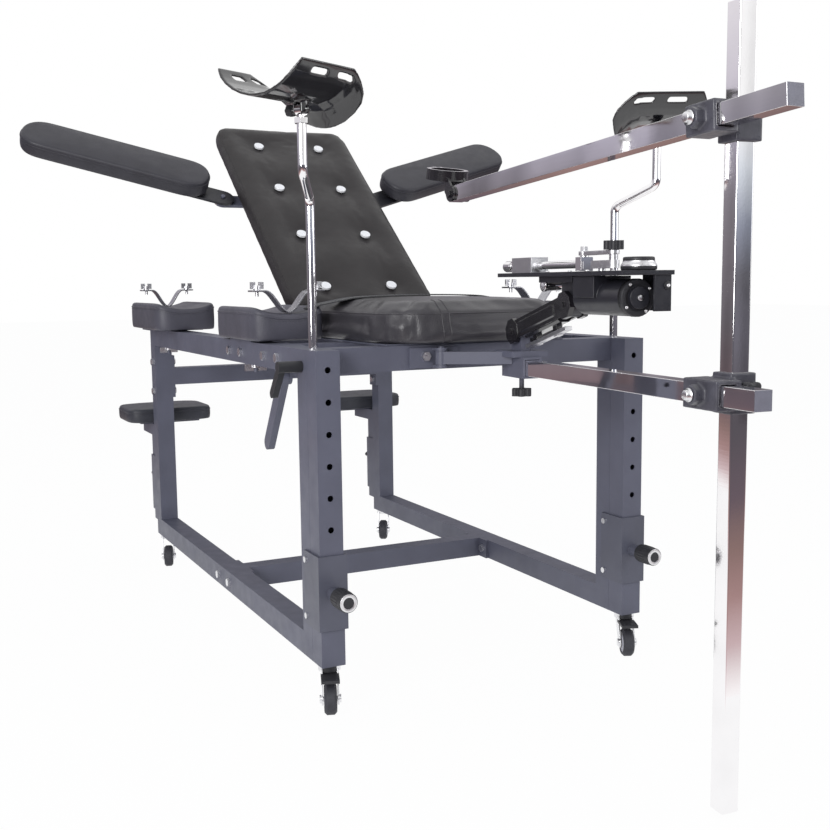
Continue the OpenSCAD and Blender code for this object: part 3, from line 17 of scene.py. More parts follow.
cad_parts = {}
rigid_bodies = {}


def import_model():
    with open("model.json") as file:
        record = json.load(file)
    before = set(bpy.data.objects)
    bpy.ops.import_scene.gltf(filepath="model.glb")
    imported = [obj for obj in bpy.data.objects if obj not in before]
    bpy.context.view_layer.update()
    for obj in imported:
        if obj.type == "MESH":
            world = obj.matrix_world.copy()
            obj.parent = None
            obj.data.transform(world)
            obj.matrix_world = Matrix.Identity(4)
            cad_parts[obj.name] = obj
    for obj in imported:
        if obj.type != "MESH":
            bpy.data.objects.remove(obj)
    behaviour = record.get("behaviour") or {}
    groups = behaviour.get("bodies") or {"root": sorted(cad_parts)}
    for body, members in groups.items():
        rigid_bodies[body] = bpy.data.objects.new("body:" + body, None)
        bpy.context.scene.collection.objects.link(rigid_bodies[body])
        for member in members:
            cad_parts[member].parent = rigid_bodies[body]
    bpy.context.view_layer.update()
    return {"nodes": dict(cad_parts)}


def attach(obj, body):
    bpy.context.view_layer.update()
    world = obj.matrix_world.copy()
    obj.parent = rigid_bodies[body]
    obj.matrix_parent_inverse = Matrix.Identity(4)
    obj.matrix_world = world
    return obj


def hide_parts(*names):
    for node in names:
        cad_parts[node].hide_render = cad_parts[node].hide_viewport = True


for leftover in list(bpy.data.objects):
    bpy.data.objects.remove(leftover)
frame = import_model()
nodes = frame["nodes"]
scene = bpy.context.scene
scene.view_settings.view_transform = "Standard"

# %% [markdown]
# ## Small tools
# Every made piece ends as data linked into the scene, and most are rings of points joined by
# quads. These helpers keep that in one place.

# %% Objects, pairs and rings
SIDES = (("left", -1), ("right", 1))
WELD = 0.00001
UP = Vector((0, 0, 1))


def both(piece):
    """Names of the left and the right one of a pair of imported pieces."""
    return ["left_" + piece, "right_" + piece]


def linked(name, data):
    """An object for some data, linked into the scene."""
    made = bpy.data.objects.new(name, data)
    scene.collection.objects.link(made)
    return made


def finished(obj):
    """The object as its modifiers leave it."""
    return obj.evaluated_get(bpy.context.evaluated_depsgraph_get())


def shade_smooth(mesh):
    """Smooth shading on every face."""
    mesh.polygons.foreach_set("use_smooth", [True] * len(mesh.polygons))


def bridge(work, rings):
    """Quads between each ring of vertices and the next."""
    for low, high in zip(rings, rings[1:]):
        for k in range(len(low)):
            after = (k + 1) % len(low)
            work.faces.new((low[k], low[after], high[after], high[k]))


def close_ends(work, rings):
    """One whole face on the first ring and one on the last."""
    work.faces.new(rings[0])
    work.faces.new(list(reversed(rings[-1])))


def solid(work, name):
    """An object out of a bmesh, with its faces turned outward."""
    bmesh.ops.recalc_face_normals(work, faces=work.faces)
    mesh = bpy.data.meshes.new(name)
    work.to_mesh(mesh)
    work.free()
    return linked(name, mesh)


# %% [markdown]
# ## Camera
# The photograph was taken from the left of the front, a little above the seat. Its place and turn
# were solved from the frame's straight tubes, so the camera is set from those numbers instead of
# being nudged by eye.

# %% Camera at the photograph's place
YAW, PITCH, ROLL = (math.radians(turn) for turn in (26.38, 6.91, 0.66))
CAMERA_AT = Vector((-0.9163, -2.1037, 0.6778))
LENS_MM, SENSOR_MM = 47.65, 36
SIGHT = 50


def camera_axes(yaw, pitch, roll):
    """Right, up and backward directions of a camera that looks ahead and a little down."""
    ahead = Vector((math.sin(yaw) * math.cos(pitch), math.cos(yaw) * math.cos(pitch),
                    -math.sin(pitch)))
    level = Vector((math.cos(yaw), -math.sin(yaw), 0))
    down = ahead.cross(level)
    right = level * math.cos(roll) + down * math.sin(roll)
    up = level * math.sin(roll) - down * math.cos(roll)
    return right, up, -ahead


camera = linked("photo_camera", bpy.data.cameras.new("photo_camera"))
camera.data.sensor_width = SENSOR_MM
camera.data.lens = LENS_MM
camera.data.clip_end = SIGHT
camera_turn = Matrix(camera_axes(YAW, PITCH, ROLL)).transposed().to_4x4()
camera.matrix_world = Matrix.Translation(CAMERA_AT) @ camera_turn
scene.camera = camera
print("camera at", tuple(round(v, 3) for v in CAMERA_AT))

# %% [markdown]
# ## Studio
# The object stands on plain white. One way is to flood the set with light, but that would wash out
# the dark paint. Here the white is only what the camera and mirror-like surfaces see; the light
# that falls on the object comes from a grey sky and three soft lamps, so colours render about as
# they are written.

# %% White surround and pale floor
WHITE = (1, 1, 1, 1)
SKY_TINT, SKY_LIGHT = (0.86, 0.91, 1, 1), 0.5
FLOOR_TINT, FLOOR_SHARE = (0.85, 0.85, 0.86, 1), 0.975
FLOOR_HALF, FLOOR_Z = 20, -0.0003


def new_node(tree, kind, **inputs):
    """A shader node with some of its inputs set."""
    made = tree.nodes.new(kind)
    for key, value in inputs.items():
        made.inputs[key.replace("_", " ")].default_value = value
    return made


def feed(tree, sockets, terms):
    """Inputs from terms, each a number or another node's output."""
    for socket, term in zip(sockets, terms):
        if isinstance(term, (int, float)):
            socket.default_value = term
        else:
            tree.links.new(term, socket)


def calc(tree, operation, *terms):
    """One Math node."""
    step = tree.nodes.new("ShaderNodeMath")
    step.operation = operation
    feed(tree, step.inputs, terms)
    return step.outputs[0]


def seen_directly(tree):
    """1 for rays from the camera and for mirror and glass rays, 0 for light between surfaces."""
    path = tree.nodes.new("ShaderNodeLightPath").outputs
    sharp = calc(tree, "MAXIMUM", path["Is Glossy Ray"], path["Is Transmission Ray"])
    return calc(tree, "MAXIMUM", path["Is Camera Ray"], sharp)


def bare_material(name):
    """A material with no nodes yet, and its tree."""
    made = bpy.data.materials.new(name)
    made.use_nodes = True
    made.node_tree.nodes.clear()
    return made, made.node_tree


def set_piece(name, verts, faces, material):
    """A piece of the set, which is not part of the object."""
    mesh = bpy.data.meshes.new(name)
    mesh.from_pydata(verts, [], faces)
    mesh.materials.append(material)
    piece = linked(name, mesh)
    return piece


def rectangle(left, right, front, rear, height):
    """Corners of a level rectangle."""
    return [(left, front, height), (right, front, height), (right, rear, height),
            (left, rear, height)]


scene.world = bpy.data.worlds.new("studio")
scene.world.use_nodes = True
sky = scene.world.node_tree
sky.nodes.clear()
sky_mix = new_node(sky, "ShaderNodeMixShader")
sky_lit = new_node(sky, "ShaderNodeBackground", Color=SKY_TINT, Strength=SKY_LIGHT)
sky_white = new_node(sky, "ShaderNodeBackground", Color=WHITE, Strength=1.0)
feed(sky, sky_mix.inputs, (seen_directly(sky), sky_lit.outputs[0], sky_white.outputs[0]))
sky.links.new(sky_mix.outputs[0], sky.nodes.new("ShaderNodeOutputWorld").inputs[0])

pale, ground = bare_material("pale_floor")
ground_mix = ground.nodes.new("ShaderNodeMixShader")
ground_lit = new_node(ground, "ShaderNodeBsdfDiffuse", Color=FLOOR_TINT)
ground_white = new_node(ground, "ShaderNodeEmission", Color=WHITE, Strength=1.0)
white_share = calc(ground, "MULTIPLY", seen_directly(ground), FLOOR_SHARE)
feed(ground, ground_mix.inputs, (white_share, ground_lit.outputs[0], ground_white.outputs[0]))
ground.links.new(ground_mix.outputs[0], ground.nodes.new("ShaderNodeOutputMaterial").inputs[0])
set_piece("floor", rectangle(-FLOOR_HALF, FLOOR_HALF, -FLOOR_HALF, FLOOR_HALF, FLOOR_Z),
          [(0, 1, 2, 3)], pale)
print("floor and sky made")

# %% [markdown]
# ## Lamps and the room
# Chrome has no colour of its own: it shows the room. On a bare white set every plated bar would be
# a white strip. Dark boards hung out of frame are the usual cure. Here a whole room stands around
# the white paper, a wooden floor and a grey wall, but only mirror rays meet it: it neither shows
# behind the object nor lights it.

# %% Soft lamps
LAMPS = {
    # place, width, watts, and whether mirror rays meet it
    "key": ((-3.2, -2.7, 1.5), 2.2, 105, True),
    "fill": ((2.9, -2.6, 1.6), 2.2, 30, True),
    "top": ((0.2, 0.6, 3.6), 2.6, 24, False),
}
AIM = Vector((0, -0.2, 0.6))
for lamp_name, (at, size, watts, mirrored) in LAMPS.items():
    lamp = bpy.data.lights.new(lamp_name, "AREA")
    lamp.shape, lamp.size, lamp.energy = "DISK", size, watts
    holder = linked(lamp_name, lamp)
    holder.visible_glossy = mirrored
    aimed = (Vector(at) - AIM).to_track_quat("Z", "Y").to_matrix().to_4x4()
    holder.matrix_world = Matrix.Translation(at) @ aimed
print(len(LAMPS), "lamps")

# %% A room that only reflections see
PAPER_X, PAPER_Y = (-1.25, 1.6), (-1.45, 1.8)
ROOM_R, ROOM_H = 5.0, 3.0
WALL_SIDES = 48
WOOD_Z = 0.0008
# Screen colours: of the wood by its distance from the paper, of the wall by its height, in metres
WOOD = [(0.0, (255, 252, 252)), (0.22, (205, 180, 182)), (0.48, (168, 136, 134)),
        (0.85, (140, 115, 111)), (1.4, (104, 91, 99)), (2.6, (90, 85, 91))]
FRONT_WALL = [(0.0, (90, 85, 91)), (0.44, (114, 112, 122)), (0.69, (108, 107, 114)),
              (0.93, (152, 157, 173)), (1.17, (222, 228, 236)), (1.4, (255, 255, 255))]
REAR_WALL = [(0.0, (128, 110, 115)), (0.4, (130, 124, 130)), (1.2, (146, 140, 148)),
             (1.55, (178, 173, 187)), (1.95, (214, 209, 218)), (2.5, (232, 228, 232))]
# Upright darker stretches of the wall: their size, how far they are drawn out, and their shades
STREAK_SIZE, STREAK_STRETCH = 0.55, (1, 1, 0.05)
STREAKS = [(0.42, [0.5] * 3), (0.52, [1.0] * 3), (1.0, [1.0] * 3)]


def linear(red, green, blue):
    """A screen colour, 0 to 255, as the linear colour that shaders use."""
    parts = [v / 255 for v in (red, green, blue)]
    return [v / 12.92 if v <= 0.04045 else ((v + 0.055) / 1.055) ** 2.4 for v in parts]


def speckle(tree, place, size, detail=3.0, stretch=None):
    """Noise with blotches about size metres across, drawn out along an axis where stretch asks."""
    cloud = new_node(tree, "ShaderNodeTexNoise", Scale=1 / size, Detail=detail)
    if stretch:
        draw = new_node(tree, "ShaderNodeMapping", Scale=stretch)
        tree.links.new(place, draw.inputs["Vector"])
        place = draw.outputs["Vector"]
    tree.links.new(place, cloud.inputs["Vector"])
    return cloud.outputs["Fac"]


def ramp_of(tree, value, stops):
    """A colour ramp over a value; the last stop's value is the end of the ramp."""
    ramp = tree.nodes.new("ShaderNodeValToRGB")
    span = stops[-1][0]
    marks = ramp.color_ramp.elements
    marks[0].color, marks[1].color = [*stops[0][1], 1], [*stops[-1][1], 1]
    marks[0].position = stops[0][0] / span
    for at, colour in stops[1:-1]:
        marks.new(at / span).color = [*colour, 1]
    tree.links.new(calc(tree, "DIVIDE", value, span), ramp.inputs["Fac"])
    return ramp.outputs["Color"]


def blended(tree, kind, share, first, second):
    """Two colours mixed by a share."""
    mix = tree.nodes.new("ShaderNodeMixRGB")
    mix.blend_type = kind
    feed(tree, mix.inputs, (share, first, second))
    return mix.outputs["Color"]


def screen(stops):
    """Stops with their screen colours made linear."""
    return [(at, linear(*colour)) for at, colour in stops]


def wood_colour(tree, place, xyz):
    """Wood that starts at the paper's edge."""
    beyond = []
    for axis, (low, high) in (("X", PAPER_X), ("Y", PAPER_Y)):
        off = calc(tree, "ABSOLUTE", calc(tree, "SUBTRACT", xyz[axis], (low + high) / 2))
        beyond.append(calc(tree, "SUBTRACT", off, (high - low) / 2))
    return ramp_of(tree, calc(tree, "MAXIMUM", *beyond), screen(WOOD))


def wall_colour(tree, place, xyz):
    """A wall that is darker ahead and paler behind, with upright darker stretches."""
    rearward = calc(tree, "ADD", calc(tree, "DIVIDE", xyz["Y"], ROOM_R), 0.5)
    tone = blended(tree, "MIX", rearward, ramp_of(tree, xyz["Z"], screen(FRONT_WALL)),
                   ramp_of(tree, xyz["Z"], screen(REAR_WALL)))
    streaks = speckle(tree, place, STREAK_SIZE, 2.0, STREAK_STRETCH)
    return blended(tree, "MULTIPLY", 1.0, tone, ramp_of(tree, streaks, STREAKS))


def mirrored_only(name, verts, faces, colour_of):
    """A glowing piece of the room, met by mirror rays alone."""
    glow, tree = bare_material(name)
    place = tree.nodes.new("ShaderNodeTexCoord").outputs["Object"]
    split = tree.nodes.new("ShaderNodeSeparateXYZ")
    tree.links.new(place, split.inputs[0])
    light = new_node(tree, "ShaderNodeEmission", Strength=1.0)
    tree.links.new(colour_of(tree, place, split.outputs), light.inputs["Color"])
    tree.links.new(light.outputs[0], tree.nodes.new("ShaderNodeOutputMaterial").inputs[0])
    piece = set_piece(name, verts, faces, glow)
    piece.visible_camera = piece.visible_diffuse = False
    piece.visible_shadow = piece.visible_transmission = False


wall_turns = [2 * math.pi * k / WALL_SIDES for k in range(WALL_SIDES)]
mirrored_only("room_wall", [(ROOM_R * math.cos(turn), ROOM_R * math.sin(turn), z)
                            for z in (0, ROOM_H) for turn in wall_turns],
              [(k, (k + 1) % WALL_SIDES, WALL_SIDES + (k + 1) % WALL_SIDES, WALL_SIDES + k)
               for k in range(WALL_SIDES)], wall_colour)
paper_edge = rectangle(*PAPER_X, *PAPER_Y, WOOD_Z)
room_edge = rectangle(-ROOM_R, ROOM_R, -ROOM_R, ROOM_R, WOOD_Z)
mirrored_only("room_wood", paper_edge + room_edge,
              [(k, 4 + k, 4 + (k + 1) % 4, (k + 1) % 4) for k in range(4)], wood_colour)
print("room of", ROOM_R, "m for reflections")

# %% [markdown]
# ## Finishes
# Each finish is one Principled shader fed by the same three ideas: slow blotches of shade, an
# uneven gloss, and a fine grain that tilts the surface. Only the sizes differ: powder coat has a
# shallow orange-peel skin, leather a pebbled grain of small cells, brushed metal long scratches,
# webbing a weave. Object coordinates carry the patterns, so no unwrapping is needed and the grain
# keeps its real size in metres on every piece.

# %% One recipe for every finish
SHADE_ENDS = ((0.32, -1), (0.68, 1))
GLOSS_ENDS = (0.3, 0.7)
GLOSS_SIZE = 0.4
LEAST_ROUGH = 0.02


def pebbles(tree, place, size):
    """Rounded cells parted by fine creases, as in grained leather."""
    cells = new_node(tree, "ShaderNodeTexVoronoi", Scale=1 / size, Randomness=0.95)
    cells.feature = "SMOOTH_F1"
    cells.inputs["Smoothness"].default_value = 0.35
    tree.links.new(place, cells.inputs["Vector"])
    return cells.outputs["Distance"]


def weave(tree, place, size):
    """Threads over and under: two crossing waves."""
    threads = []
    for direction in ("X", "Y"):
        wave = new_node(tree, "ShaderNodeTexWave", Scale=0.32 / size, Distortion=0.4)
        wave.bands_direction = direction
        tree.links.new(place, wave.inputs["Vector"])
        threads.append(wave.outputs["Fac"])
    return calc(tree, "ADD", *threads)


def brushed(tree, place, size):
    """Long fine scratches along one axis."""
    return speckle(tree, place, size, 4.0, (1, 0.04, 1))


def peel(tree, place, size):
    """The shallow skin of paint, plating and moulded plastic."""
    return speckle(tree, place, size, 2.0)


def finish(name, colour, rough, blotch, spread, grain, metal=0.0, more=None):
    """A finish: size and strength of its blotches; kind, size and depth of its grain."""
    made = bpy.data.materials.new(name)
    made.use_nodes = True
    tree = made.node_tree
    shader = tree.nodes["Principled BSDF"]
    place = tree.nodes.new("ShaderNodeTexCoord").outputs["Object"]
    ramp = tree.nodes.new("ShaderNodeValToRGB")
    for mark, (at, side) in zip(ramp.color_ramp.elements, SHADE_ENDS):
        mark.position = at
        mark.color = [min(1, c * (1 + side * blotch[1])) for c in colour] + [1]
    tree.links.new(speckle(tree, place, blotch[0]), ramp.inputs["Fac"])
    tree.links.new(ramp.outputs["Color"], shader.inputs["Base Color"])
    gloss = new_node(tree, "ShaderNodeMapRange", From_Min=GLOSS_ENDS[0], From_Max=GLOSS_ENDS[1],
                     To_Min=max(LEAST_ROUGH, rough - spread), To_Max=rough + spread)
    tree.links.new(speckle(tree, place, blotch[0] * GLOSS_SIZE, 5.0), gloss.inputs["Value"])
    tree.links.new(gloss.outputs["Result"], shader.inputs["Roughness"])
    shader.inputs["Metallic"].default_value = metal
    for key, value in (more or {}).items():
        shader.inputs[key].default_value = value
    relief, size, depth = grain
    bump = new_node(tree, "ShaderNodeBump", Strength=1.0, Distance=depth)
    tree.links.new(relief(tree, place, size), bump.inputs["Height"])
    tree.links.new(bump.outputs["Normal"], shader.inputs["Normal"])
    return made


# %% All the finishes
PAINTS = {
    # name: (screen colour, roughness, blotch, spread, grain)
    "powder_coat": ((88, 89, 103), 0.46, (0.07, 0.08), 0.06, (peel, 0.0016, 0.00005)),
    "sleeve_coat": ((82, 83, 95), 0.42, (0.07, 0.08), 0.05, (peel, 0.0016, 0.00005)),
    "bracket_coat": ((34, 34, 40), 0.42, (0.07, 0.08), 0.05, (peel, 0.0016, 0.00005)),
    "cast_grey": ((70, 69, 77), 0.36, (0.018, 0.22), 0.1, (peel, 0.0022, 0.00012)),
    "gloss_arm": ((27, 25, 29), 0.2, (0.03, 0.1), 0.05, (peel, 0.004, 0.00003)),
    "gloss_shell": ((20, 19, 23), 0.2, (0.05, 0.1), 0.05, (peel, 0.006, 0.00006)),
    "moulded": ((38, 38, 42), 0.5, (0.02, 0.1), 0.05, (peel, 0.0009, 0.00008)),
    "black_metal": ((34, 34, 40), 0.34, (0.03, 0.1), 0.05, (peel, 0.001, 0.00004)),
    "button": ((238, 238, 240), 0.22, (0.004, 0.03), 0.05, (peel, 0.001, 0.00003)),
    "tyre": ((48, 48, 54), 0.62, (0.012, 0.12), 0.05, (peel, 0.0011, 0.00012)),
    "hub": ((176, 176, 184), 0.4, (0.01, 0.05), 0.05, (peel, 0.0008, 0.00005)),
    "cap_grey": ((112, 111, 122), 0.45, (0.01, 0.06), 0.05, (peel, 0.0007, 0.00005)),
    "webbing": ((33, 33, 37), 0.72, (0.02, 0.15), 0.05, (weave, 0.0016, 0.0004)),
    "thread": ((58, 58, 64), 0.7, (0.004, 0.15), 0.05, (peel, 0.0006, 0.0001)),
}
METALS = {
    # name: (linear colour, roughness, blotch, spread, grain)
    "chrome": ((0.93, 0.92, 0.93), 0.055, (0.06, 0.02), 0.02, (brushed, 0.004, 0.000012)),
    "zinc": ((0.80, 0.80, 0.82), 0.3, (0.02, 0.05), 0.05, (peel, 0.004, 0.000004)),
    "pressed_steel": ((0.46, 0.46, 0.49), 0.27, (0.02, 0.08), 0.06, (peel, 0.004, 0.000006)),
    "aluminium": ((0.74, 0.74, 0.76), 0.36, (0.02, 0.05), 0.06, (brushed, 0.005, 0.000004)),
}
# One black leathercloth covers every pad; each kind's colour is made lighter or darker as painted
# light and shade
LIT_AND_SHADED_LEATHER = {
    # kind of pad: (screen colour, roughness, specular level)
    "back": ((39, 36, 37), 0.42, 0.3), "seat": ((56, 54, 58), 0.34, 0.5),
    "arm": ((52, 51, 57), 0.42, 0.35), "limb": ((76, 75, 84), 0.44, 0.4),
    "kneel": ((55, 56, 63), 0.44, 0.4),
}
# Other inputs of the shader, for the finishes that need them
MORE = {
    "gloss_arm": {"Coat Weight": 0.7, "Coat Roughness": 0.08},
    "gloss_shell": {"Coat Weight": 1.0, "Coat Roughness": 0.06},
    "black_metal": {"Specular IOR Level": 0.6}, "button": {"Coat Weight": 0.6},
    "webbing": {"Sheen Weight": 0.25, "Sheen Roughness": 0.5},
}
# Lit and shaded copies of the one leathercloth: one finish per kind of pad, its colour holding
# painted light and shade
for kind, (colour, rough, specular) in LIT_AND_SHADED_LEATHER.items():
    name = kind + "_leather"
    PAINTS[name] = (colour, rough, (0.05, 0.1), 0.06, (pebbles, 0.0021, 0.0002))
    MORE[name] = {"Specular IOR Level": specular}
FINISHES = {name: finish(name, *recipe, metal=1.0) for name, recipe in METALS.items()}
for name, (colour, *recipe) in PAINTS.items():
    FINISHES[name] = finish(name, linear(*colour), *recipe, more=MORE.get(name))
print(len(FINISHES), "finishes")

# %% [markdown]
# ## Metal pieces
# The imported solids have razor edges, which no folded or welded tube has. Changing their meshes is
# not wanted, so modifiers do it: one welds the triangles, one joins flat neighbours into whole
# faces, one rolls the edges over by half a millimetre or more, and one leans the shading toward
# the large faces so flats stay flat.

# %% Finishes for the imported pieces
CORNERS = ["front_left", "front_right", "rear_left", "rear_right"]
FINISH_OF = {
    "powder_coat": [*both("side_frame"), "cross_bars", "seat_bars", *both("leg_tube"),
                    "backrest_frame", *both("kneel_post"), "kneel_sleeves", "recline_lever",
                    "seat_pan", "limb_pad_plates", "arm_hinge_bracket", "swing_arm"],
    "sleeve_coat": ["leg_sleeves"],
    "bracket_coat": both("arm_bracket"),
    "chrome": [*both("leg_pole"), "slide_bar", "mast", "boom", "slide_rod"],
    "zinc": ["fasteners", "recline_axle", *(corner + "_fork" for corner in CORNERS)],
    "black_metal": ["drive_plate", "drive_motor"],
    "gloss_arm": ["ring_clamp", "drive_arm"],
    "moulded": both("clamp_lever") + both("pull_pin"),
    "aluminium": ["crank", "link", "bearing_block"],
    "button": ["backrest_buttons"],
    "tyre": [corner + "_wheel" for corner in CORNERS],
}
ROLLED = {
    # width of the rolled edge: the pieces that have it
    0.0022: both("side_frame"),
    0.002: ["mast", "boom", "slide_bar", "cross_bars", "seat_bars", *both("leg_tube")],
    0.0015: both("pull_pin"),
    0.0012: ["drive_motor"],
    0.0008: ["drive_plate"],
}
EDGE = {piece: width for width, pieces in ROLLED.items() for piece in pieces}
PLAIN_EDGE = 0.0006
FLAT_ANGLE, EDGE_ANGLE = math.radians(0.5), math.radians(34)
FACE_WEIGHT = 60


def soften(obj, width):
    """Rolled edges on a piece, by modifiers alone."""
    shade_smooth(obj.data)
    if "custom_normal" in obj.data.attributes:
        obj.data.attributes.remove(obj.data.attributes["custom_normal"])
    obj.modifiers.new("weld", "WELD").merge_threshold = WELD
    flat = obj.modifiers.new("flats", "DECIMATE")
    flat.decimate_type, flat.angle_limit, flat.delimit = "DISSOLVE", FLAT_ANGLE, {"MATERIAL"}
    roll = obj.modifiers.new("edges", "BEVEL")
    roll.width, roll.segments = width, 2
    roll.limit_method, roll.angle_limit = "ANGLE", EDGE_ANGLE
    roll.use_clamp_overlap = True
    lean = obj.modifiers.new("shading", "WEIGHTED_NORMAL")
    lean.weight, lean.keep_sharp = FACE_WEIGHT, True


for finish_name, members in FINISH_OF.items():
    for member in members:
        nodes[member].data.materials.clear()
        nodes[member].data.materials.append(FINISHES[finish_name])
        soften(nodes[member], EDGE.get(member, PLAIN_EDGE))
print("dressed", sum(len(members) for members in FINISH_OF.values()), "packed pieces")

# %% [markdown]
# ## Pieces of two finishes
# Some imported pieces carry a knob, a cap or a pedal of another material. A second object could
# cover them, but the shape is already right, so the faces are only told apart by where they lie
# and given a second material slot.

# %% Knobs and caps
SWING_TURN = math.radians(-4.5)
SWING_AT = Vector((0.028, -0.5905, 0))
MAST_CAPS_Z, BOOM_CAP_Y, BAR_CAP_Y = (0.0125, 0.9945), -1.2083, -0.5815
SWING_KNOB_Z, KNEEL_KNOB_Y, CRANK_KNOB_Z = 0.5115, 0.5895, 0.7185
BACK_PLATE_X = 0.2
LIFT_LEAN = math.radians(15)
LIFT_FOOT = (0.003, 0.597)
STRIP_BELOW = -0.0265


def repaint(node, finish_name, test):
    """Faces whose centre passes the test get another finish."""
    data = nodes[node].data
    data.materials.append(FINISHES[finish_name])
    number, count = len(data.materials) - 1, 0
    for face in data.polygons:
        if test(face.center):
            face.material_index = number
            count += 1
    print(f"  {node}: {count} of {len(data.polygons)} faces in {finish_name}")


def along_bar(point):
    """A point in the swing arm's own frame: x across the bar, y along it."""
    dx, dy = point.x - SWING_AT.x, point.y - SWING_AT.y
    c, s = math.cos(SWING_TURN), math.sin(SWING_TURN)
    return Vector((dx * c + dy * s, dy * c - dx * s, point.z))


def from_bar(x, y, z):
    """The place of a point given in the swing arm's own frame."""
    c, s = math.cos(SWING_TURN), math.sin(SWING_TURN)
    return Vector((SWING_AT.x + x * c - y * s, SWING_AT.y + x * s + y * c, z))


def over_lift(point):
    """Height of a point over the slanted lift's own axis."""
    local = along_bar(point)
    return ((local.y - LIFT_FOOT[0]) * math.sin(LIFT_LEAN)
            + (local.z - LIFT_FOOT[1]) * math.cos(LIFT_LEAN))


repaint("mast", "cap_grey", lambda p: p.z < MAST_CAPS_Z[0] or p.z > MAST_CAPS_Z[1])
repaint("boom", "cap_grey", lambda p: p.y < BOOM_CAP_Y)
repaint("slide_bar", "cap_grey", lambda p: along_bar(p).y < BAR_CAP_Y)
repaint("swing_arm", "moulded", lambda p: p.z < SWING_KNOB_Z)
repaint("kneel_sleeves", "moulded", lambda p: p.y > KNEEL_KNOB_Y)
repaint("crank", "moulded", lambda p: p.z > CRANK_KNOB_Z)
repaint("drive_arm", "aluminium", lambda p: over_lift(p) < STRIP_BELOW)
repaint("backrest_frame", "zinc", lambda p: abs(p.x) > BACK_PLATE_X)

# %% Hubs and brake pedals of the casters
CASTERS = {"front_left": (-0.290, -0.5225, 20), "front_right": (0.290, -0.5225, 24),
           "rear_left": (-0.290, 0.5225, 16), "rear_right": (0.290, 0.5225, 30)}
TRAIL, WHEEL_R = 0.024, 0.025
HUB_R, HUB_OUT = (0.0068, 0.0172), 0.0075
# A pedal starts ahead of the stem, is narrow at first, and lies in a band of height
PEDAL_FROM, PEDAL_WIDE_FROM, PEDAL_NARROW = 0.0105, 0.0185, 0.0113
PEDAL_Z = (0.0565, 0.0755)


def wheel_frame(corner):
    """Centre of a caster's wheel and the direction of its axle."""
    x, y, turn = CASTERS[corner]
    turn = math.radians(turn)
    return (Vector((x - TRAIL * math.sin(turn), y - TRAIL * math.cos(turn), WHEEL_R)),
            Vector((math.cos(turn), -math.sin(turn), 0)))


def from_axis(point, foot, way):
    """How far a point lies along an axis, and how far off it."""
    along = (point - foot).dot(way)
    return along, (point - foot - way * along).length


def on_hub(corner):
    """Test for the flat rings on both sides of a wheel."""
    def test(p):
        along, off = from_axis(p, *wheel_frame(corner))
        return HUB_R[0] < off < HUB_R[1] and abs(along) > HUB_OUT
    return test


def on_pedal(corner):
    """Test for the brake pedal of a front caster's fork."""
    axle = wheel_frame(corner)[1]
    ahead = Vector((axle.y, -axle.x, 0))
    stem = Vector((*CASTERS[corner][:2], 0))

    def test(p):
        reach = (p - stem).dot(ahead)
        return (reach > PEDAL_FROM and PEDAL_Z[0] < p.z < PEDAL_Z[1]
                and (reach > PEDAL_WIDE_FROM or abs((p - stem).dot(axle)) < PEDAL_NARROW))
    return test


for corner in CORNERS:
    repaint(corner + "_wheel", "hub", on_hub(corner))
    if corner.startswith("front"):
        repaint(corner + "_fork", "moulded", on_pedal(corner))

# %% [markdown]
# ## Moulded and cast pieces
# The leg cups are thin moulded shells with rolled rims, the controller is a pebble, and the two
# bar clamps are castings. Bevels would only trim their edges. A subdivision surface would need a
# hand-made cage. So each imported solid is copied, remade in fine even quads and smoothed, which
# rounds every rim, slot and inner corner at once.

# %% Smoothed copies of the cups, the controller and the clamps
CUP_PIVOT = Vector((0.3268, -0.5513, 0.9305))
CUP_KNOB_WAY = Vector((-0.4384, -0.8988, 0))
CUP_KNOB_FROM, CUP_KNOB_R = 0.0146, 0.0108
CONTROL_BAND_Z = (0.6955, 0.7025)
CLAMP_KNOB_X, CLAMP_KNOB_Y = 0.0195, -0.5195


def even_copy(name, node, voxel):
    """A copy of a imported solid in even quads."""
    work = bmesh.new()
    work.from_mesh(nodes[node].data)
    bmesh.ops.remove_doubles(work, verts=work.verts, dist=WELD)
    packed = bpy.data.meshes.new(name)
    work.to_mesh(packed)
    work.free()
    copy = linked(name, packed)
    even = copy.modifiers.new("even", "REMESH")
    even.mode, even.voxel_size = "VOXEL", voxel
    copy.data = bpy.data.meshes.new_from_object(finished(copy))
    copy.modifiers.clear()
    shade_smooth(copy.data)
    return copy


def ease_shape(obj, passes):
    """Smoothing that wears small steps and sharp corners off."""
    ease = obj.modifiers.new("ease", "SMOOTH")
    ease.factor, ease.iterations = 0.5, passes


def rounded(name, node, body, finish_names, voxel, passes, second=None):
    """A smoothed stand-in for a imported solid; faces passing the second test get finish two."""
    copy = even_copy(name, node, voxel)
    for finish_name in finish_names:
        copy.data.materials.append(FINISHES[finish_name])
    if second:
        for face in copy.data.polygons:
            face.material_index = int(second(face.center))
    ease_shape(copy, passes)
    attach(copy, body)
    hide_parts(node)
    print(f"  {name}: {len(copy.data.polygons)} quads")


def on_cup_knob(side):
    """Test for a cup's knob, along its cross pin: forward on the right, rearward on the left."""
    pivot = Vector((side * CUP_PIVOT.x, CUP_PIVOT.y, CUP_PIVOT.z))
    way = Vector((CUP_KNOB_WAY.x, side * CUP_KNOB_WAY.y, 0))

    def test(p):
        along, off = from_axis(p, pivot, way)
        return along > CUP_KNOB_FROM and off < CUP_KNOB_R
    return test


